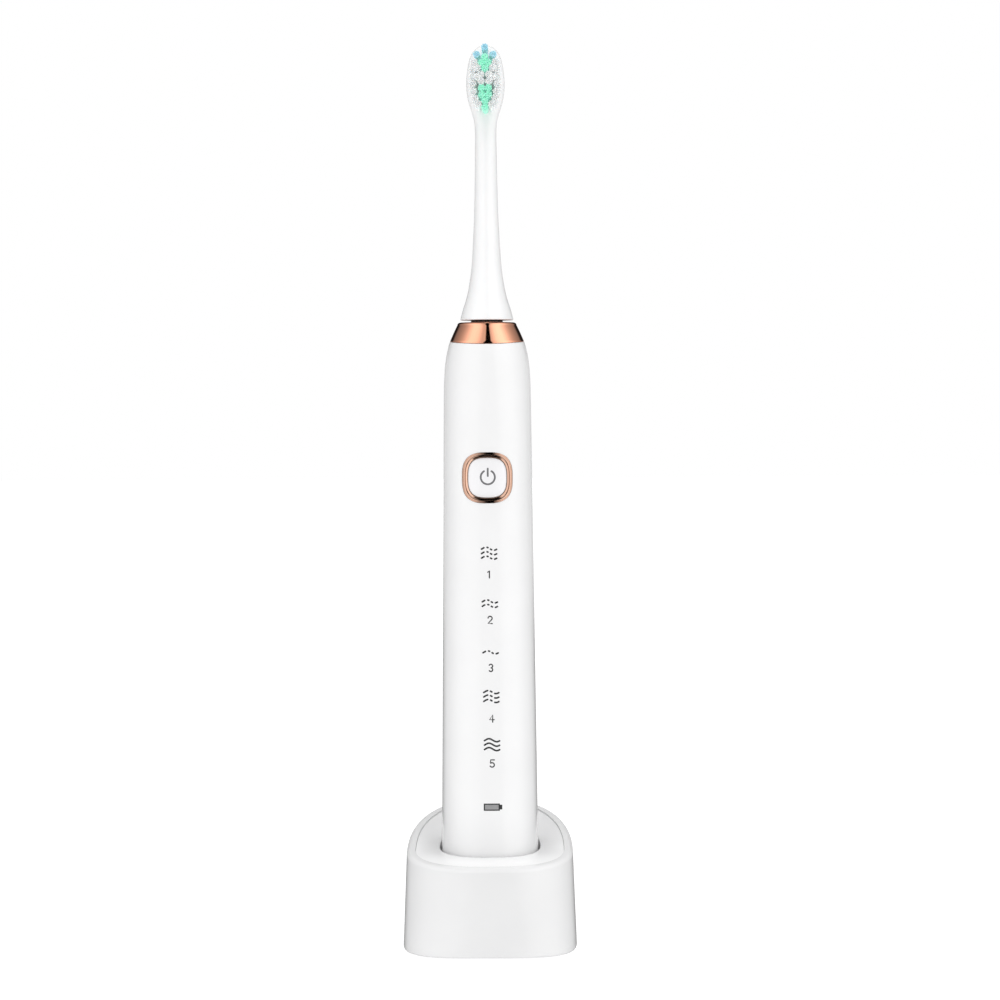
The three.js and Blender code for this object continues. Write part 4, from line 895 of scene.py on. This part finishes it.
TUFT_PLACES = {
    # distance from the middle and height of each tuft; the ones off the middle come in pairs
    "white": ((3.15, 259.6), (2.25, 258.0), (3.5, 257.5), (1.15, 256.1), (2.35, 255.4),
              (3.6, 255.4), (1.15, 254.1), (3.6, 253.3), (3.4, 251.2), (2.9, 249.2),
              (2.0, 247.5)),
    "green": ((0, 261.2), (0.95, 259.5), (0, 257.8), (1.0, 252.2), (1.0, 250.2), (0, 248.4),
              (0, 246.5)),
    "blue": ((0, 263.1), (2.0, 261.9)),
}
TUFT_RADIUS = {"white": 0.88, "green": 0.84, "blue": 0.8}
TUFT_ROOT_Y = HANDLE_Y - 1.0
ROOT_SHARE = 0.9  # how far the roots keep from the middle, as a share of the tuft's places
SPLAY = (1.16, 1.3)  # the same for the tips
TIP_UNEVEN = (0.0, 0.1)
TIP_ROUNDING = 0.22  # how much shorter a tuft is at its edge
FILAMENT_RADIUS = 0.125
FILAMENT_BEND = 0.06
FILAMENTS_PER_TUFT = 52
FILAMENT_SIDES = 5
# from root to tip: share of the length, share of the radius
FILAMENT_PROFILE = ((0, 1), (0.4, 1), (0.75, 1), (0.992, 0.96), (0.997, 0.8), (1.0, 0.45))


def filament(root, tip, radius, draw):
    """One bristle: a thin tapered rod with a rounded end and a slight bend."""
    axis = (tip - root).normalized()
    side = axis.orthogonal().normalized()
    other = axis.cross(side)
    bend = (side * draw.uniform(-1, 1) + other * draw.uniform(-1, 1)) * FILAMENT_BEND
    rings = []
    for share, scale in FILAMENT_PROFILE:
        centre = root.lerp(tip, share) + bend * share * share
        rings.append([centre + (side * cos(a) + other * sin(a)) * radius * scale
                      for a in (TAU * k / FILAMENT_SIDES for k in range(FILAMENT_SIDES))])
    return loft_data(rings)


def tuft(x, z, colour, draw):
    """A bundle of filaments that opens towards its tips; the blue ones also lean outward."""
    lean_x = 0.25 * x if colour == "blue" else 0.0
    lean_z = 0.9 if colour == "blue" and x == 0 else 0.0
    solids = []
    golden = pi * (3 - sqrt(5))
    reach = TUFT_RADIUS[colour]
    for k in range(FILAMENTS_PER_TUFT):
        r = reach * sqrt((k + 0.5) / FILAMENTS_PER_TUFT)
        a = golden * k + draw.uniform(-0.1, 0.1)
        dx, dz = r * cos(a), r * sin(a)
        root = Vector((x + dx * ROOT_SHARE, TUFT_ROOT_Y, z + dz * ROOT_SHARE))
        splay = draw.uniform(*SPLAY)
        drop = draw.uniform(*TIP_UNEVEN) + TIP_ROUNDING * (r / reach) ** 4
        tip = Vector((x + dx * splay + lean_x, TUFT_TIP_Y + drop, z + dz * splay + lean_z))
        solids.append(filament(root, tip, FILAMENT_RADIUS, draw))
    return solids


def tuft_group(colour, look):
    draw = random.Random(f"tufts {colour}")
    solids = []
    for x, z in TUFT_PLACES[colour]:
        for side in ((0,) if x == 0 else (1, -1)):
            solids += tuft(x * side, STAND_Z + z, colour, draw)
    group = merged(f"tufts_{colour}", solids, 60)
    finish_piece(group, look, "brush_head", f"nylon_{colour}", f"bristles_{colour}")


# ------------------------------------------------------------------ charging base

def base_ring(inset, lift, height):
    def point(angle):
        x, y = base_plan(angle, inset, lift)
        return Vector((x, y, height_at(height, y)))
    return ring(point, BASE_SIDES)


def gland_circles(profile, sides=ROD_SIDES):
    """Upright circles about the lead's outlet, from (radius, y) pairs."""
    return [ring(lambda a: Vector((r * cos(a), y, GLAND_Z + r * sin(a))), sides)
            for r, y in profile]


def below_rim(drop):
    return lambda y: rim_z(y) - drop


def base_casing():
    """The housing: a wall that leans in, a rounded rim with its lip, and the lead's hole."""
    low = HOUSING_LOW.z
    lip = BASE_DRAFT + RIM_WIDTH
    foot_round, lip_round = 0.8, 0.14
    lip_depth, wall_depth = 2.4, 3.4  # below the rim, at the lip and at the wall's inside
    hole_radius, hole_span = 3.0, (20, 40)
    rings = [base_ring(inset, 0, low + up) for up, inset in rounded(foot_round, 7)]
    rings += [base_ring(BASE_DRAFT * share, share,
                        lambda y: lerp(low + foot_round, rim_z(y) - RIM_ROUNDING, share))
              for share in (i / 16 for i in range(1, 17))]
    rings += [base_ring(BASE_DRAFT + inset, 1, below_rim(drop))
              for inset, drop in rounded(RIM_ROUNDING, 9)[1:]]
    rings += [base_ring(lip - back, 1, below_rim(drop)) for drop, back in rounded(lip_round, 5)]
    rings += [base_ring(lip, 1, below_rim(lip_depth)),
              base_ring(BASE_DRAFT + BASE_WALL, 1, below_rim(wall_depth)),
              base_ring(BASE_DRAFT / 2 + BASE_WALL, 0.5, lambda y: (rim_z(y) - RIM_ROUNDING) / 2),
              base_ring(BASE_WALL, 0, low)]
    housing = lofted("base_casing", rings, closed=True)
    carve(housing, lofted("hole", gland_circles((hole_radius, y) for y in hole_span)))
    finish_piece(housing, BASE_WHITE_PAINTED_SHADE, "charger_base", "white_gloss", "base_housing")


def about_handle(half, exponent, height):
    def point(angle):
        r = squircle_radius(angle, half, half, exponent)
        y = HANDLE_Y + r * sin(angle)
        return Vector((r * cos(angle), y, height_at(height, y)))
    return ring(point, BASE_SIDES)


def cradle_dish():
    """The dished insert: the post, the cup's floor and wall, the dish and its edge, the back."""
    edge_inset = BASE_DRAFT + RIM_WIDTH + 0.04
    edge_round, mouth_round, post_round = 0.12, 0.5, 0.8
    edge_depth, edge_width = 4, 1.3
    bottom = CUP_FLOOR - CRADLE_WALL

    def post(extra, height):
        return about_handle(POST_RADIUS + extra, 2, height)

    def cup(extra, height):
        return about_handle(CUP_HALF + extra, HANDLE_EXPONENT, height)

    def edge(extra, drop):
        return base_ring(edge_inset + extra, 1, below_rim(CRADLE_STEP + drop))

    mouth, rim = cup(mouth_round, mouth_z), edge(edge_round, 0)

    def dish(share, drop=0.0):
        rings = []
        for start, end in zip(mouth, rim):
            p = start.lerp(end, share)
            rise = rim_z(p.y) - CRADLE_STEP - mouth_z(p.y)
            rings.append(Vector((p.x, p.y, mouth_z(p.y) + rise * share ** DISH_POWER - drop)))
        return rings

    rings = [post(-inset, POST_TOP - drop) for drop, inset in rounded(post_round, 6)]
    rings += [post(0.1, CUP_FLOOR + 0.6), post(0.3, CUP_FLOOR + 0.15), post(0.8, CUP_FLOOR),
              cup(-0.8, CUP_FLOOR), cup(-0.3, CUP_FLOOR + 0.15), cup(-0.1, CUP_FLOOR + 0.7)]
    rings += [cup(out, lambda y: mouth_z(y) - drop)
              for out, drop in rounded(mouth_round, 6)]
    rings += [dish(i / 18) for i in range(1, 18)]
    rings += [edge(inset, drop) for drop, inset in rounded(edge_round, 5)]
    rings += [edge(0, edge_depth), edge(edge_width, edge_depth), dish(0.67, CRADLE_WALL),
              dish(0.33, CRADLE_WALL), cup(CRADLE_WALL, lambda y: mouth_z(y) - CRADLE_WALL),
              cup(CRADLE_WALL, bottom), post(-1.2, bottom), post(-1.3, POST_TOP - 1)]
    cradle = lofted("cradle_dish", rings)
    finish_piece(cradle, CRADLE_WHITE, "charger_base", "white_gloss", "cradle_cup")


def foot_pads():
    """The four rubber pads, each with a rounded edge and a shallow dimple below."""
    rounding = 0.4
    dimple = [(1.2, 0.12), (1.6, 0.0)]
    for i in range(1, 5):
        node = f"base_foot_{i}"
        low, high = box_mm(node)
        middle, radius = (low + high) / 2, (high.x - low.x) / 2
        edge = [(radius - inset, up) for up, inset in rounded(rounding, 5)]
        rings = [ring(lambda a: Vector((middle.x + r * cos(a), middle.y + r * sin(a), z)), 64)
                 for r, z in dimple + edge + [(radius, high.z)]]
        finish_piece(lofted(f"foot_pad_{i}", rings), FOOT_RUBBER, "charger_base", "foot_grey",
                     node)


def cord_grommet():
    """The rubber outlet for the lead, flush with the back wall."""
    front, back = GLAND_LOW.y, GLAND_HIGH.y
    bore, flange, body = 1.9, 4.6, 2.95
    flange_back = front + 1.5
    profile = ((bore, front), (flange, front), (flange, flange_back), (body, flange_back),
               (body, back - 0.15), (body - 0.15, back), (bore + 0.2, back), (bore, back - 0.2))
    grommet = lofted("cord_grommet", gland_circles(profile, 64), closed=True)
    finish_piece(grommet, BLACK_SILICONE, "charger_base", "black_rubber", "cord_gland")


# ------------------------------------------------------------------ stage, lights and camera

CAMERA_DISTANCE = 636.0
CAMERA_HEIGHT = 169.3
CAMERA_PITCH = 3.24
CAMERA_ROLL = -0.345
CAMERA_ASIDE = 9.0
CAMERA_YAW = 0.487
CAMERA_LENS = 76.4


def add_camera():
    data = bpy.data.cameras.new("camera")
    data.lens = CAMERA_LENS
    data.sensor_width = 36
    data.clip_start = 0.01
    camera = add_object("camera", data)
    place = Vector((CAMERA_ASIDE, HANDLE_Y - CAMERA_DISTANCE, CAMERA_HEIGHT)) * MM
    turn = (Matrix.Rotation(radians(CAMERA_YAW), 4, "Z")
            @ Matrix.Rotation(radians(90 - CAMERA_PITCH), 4, "X"))
    roll = Matrix.Rotation(radians(CAMERA_ROLL), 4, "Z")
    camera.matrix_world = Matrix.Translation(place) @ turn @ roll
    bpy.context.scene.camera = camera


def add_stage():
    """A pale floor whose own emission takes it to white, and which reflections do not see."""
    half = 3.0  # metres
    greys = ((0.3, 0.3, 0.3), (0.28, 0.28, 0.28))
    mesh = bpy.data.meshes.new("floor")
    mesh.from_pydata([(-half, -half, 0), (half, -half, 0), (half, half, 0), (-half, half, 0)],
                     [], [(0, 1, 2, 3)])
    floor = add_object("floor", mesh)
    made, tree, bsdf, where = shader("pale_floor")
    fed(tree, bsdf, {"Base Color": tinted(tree, noise(tree, where, 4.0), *greys),
                     "Roughness": 0.9, "Specular IOR Level": 0.0,
                     "Emission Color": (1, 1, 1, 1), "Emission Strength": 0.83})
    mesh.materials.append(made)
    floor.visible_glossy = False


def calculated(tree, operation, *values):
    """A Math node on sockets or plain numbers."""
    node = new_node(tree, "Math", dict(enumerate(values)))
    node.operation = operation
    return node.outputs["Value"]


def ramp(tree, factor, stops):
    """A smooth grey ramp; stops are (position, brightness) and brightness may pass 1."""
    top = max(brightness for _, brightness in stops)
    node = new_node(tree, "ValToRGB", {"Fac": factor})
    node.color_ramp.interpolation = "EASE" if len(stops) == 2 else "LINEAR"
    elements = node.color_ramp.elements
    while len(elements) < len(stops):
        elements.new(0.5)
    for element, (position, _) in zip(elements, stops):
        element.position = position
    for element, (_, brightness) in zip(elements, stops):
        element.color = (brightness / top,) * 3 + (1,)
    return calculated(tree, "MULTIPLY", node.outputs["Color"], top)


# Brightness by the angle from the front, from 0 at the camera to 1 behind. Reflections see the
# two softboxes with a dark gap between them; the diffuse light comes from a whole white tent.
SOFTBOXES = ((0.0, 0.9), (0.07, 1.0), (0.12, 1.4), (0.167, 1.78), (0.25, 2.0), (0.33, 2.0),
             (0.4, 1.65), (0.47, 1.22), (0.52, 0.95), (0.58, 0.7), (0.65, 0.52), (0.74, 0.34),
             (0.8, 0.02), (1.0, 0.02))
GAP_EDGE = ((0.036, 0.0), (0.056, 1.0))
GAP_ASIDE = 0.04
GAP_SHAPE = ((0.45, 1.25), (0.7, 0.8))  # the gap narrows between these heights
TENT = ((0.0, 1.2), (0.15, 1.1), (0.35, 0.36), (0.55, 0.02), (1.0, 0.0))
TENT_TOP = 1.9
BOXES_TOP = ((0.82, 1.0), (0.94, 0.01))  # the softboxes end between these heights, as a sine
BACKDROP = ((0.07, 0.55), (0.14, 0.0))  # low white cloth that only the outermost edges mirror
BACKDROP_TURN = ((0.62, 0.0), (0.8, 1.0))
OVERHEAD = ((0.5, 0.0), (0.9, 1.0))  # the tent brightens to TENT_TOP between these heights
LOPSIDED = 0.1  # how much brighter the right side is than the middle


def add_world():
    """A white tent for the diffuse light, and two softboxes in front for the reflections."""
    world = bpy.data.worlds.new("studio")
    world.use_nodes = True
    tree = world.node_tree
    source = tree.nodes.new("ShaderNodeTexCoord").outputs["Generated"]
    x, y, z = new_node(tree, "SeparateXYZ", {"Vector": source}).outputs
    calc, shade = partial(calculated, tree), partial(ramp, tree)
    ahead = calc("MULTIPLY", y, -1.0)
    turn = calc("DIVIDE", calc("ARCTAN2", calc("ABSOLUTE", x), ahead), pi)
    height = calc("ABSOLUTE", z)
    boxes = calc("MULTIPLY", shade(turn, SOFTBOXES), shade(height, BOXES_TOP))
    gap_aside = calc("ABSOLUTE", calc("SUBTRACT", x, GAP_ASIDE))
    gap_turn = calc("DIVIDE", calc("ARCTAN2", gap_aside, ahead), pi)
    from_gap = calc("DIVIDE", gap_turn, shade(height, GAP_SHAPE))
    boxes = calc("MULTIPLY", boxes, shade(from_gap, GAP_EDGE))
    backdrop = calc("MULTIPLY", shade(turn, BACKDROP_TURN), shade(height, BACKDROP))
    boxes = calc("MAXIMUM", boxes, backdrop)
    around = shade(turn, TENT)
    missing = calc("SUBTRACT", TENT_TOP, around)
    tent = calc("MULTIPLY_ADD", missing, shade(z, OVERHEAD), around)
    lopsided = calc("MULTIPLY_ADD", x, LOPSIDED, 1.0)
    path = tree.nodes.new("ShaderNodeLightPath").outputs

    def background(strength):
        inputs = {"Color": (1, 1, 1, 1), "Strength": strength}
        return new_node(tree, "Background", inputs).outputs["Background"]

    def mixed(factor, first, second):
        inputs = {"Fac": factor, 1: first, 2: second}
        return new_node(tree, "MixShader", inputs).outputs["Shader"]

    soft = background(calc("MULTIPLY", tent, lopsided))
    sharp = background(calc("MULTIPLY", boxes, lopsided))
    light = mixed(path["Is Glossy Ray"], soft, sharp)
    shown = mixed(path["Is Camera Ray"], light, background(1.0))
    tree.links.new(shown, tree.nodes["World Output"].inputs["Surface"])
    bpy.context.scene.world = world


def look_settings():
    view = bpy.context.scene.view_settings
    view.view_transform = "Standard"
    view.look = "None"
    view.exposure, view.gamma = 0.0, 1.0


# ------------------------------------------------------------------ making it all

add_camera()
add_world()
add_stage()
look_settings()

dress_cad_nodes()
handle_casing()
collar_band()
button_frame()
button_cap()
handle_foot()
seal_boot()
mode_signs()
battery_sign()
power_sign()
brush_neck()
shaft_rod()
coupler_sleeve()
tuft_group("white", NYLON_WHITE)
tuft_group("green", NYLON_GREEN)
tuft_group("blue", NYLON_BLUE)
base_casing()
cradle_dish()
foot_pads()
cord_grommet()
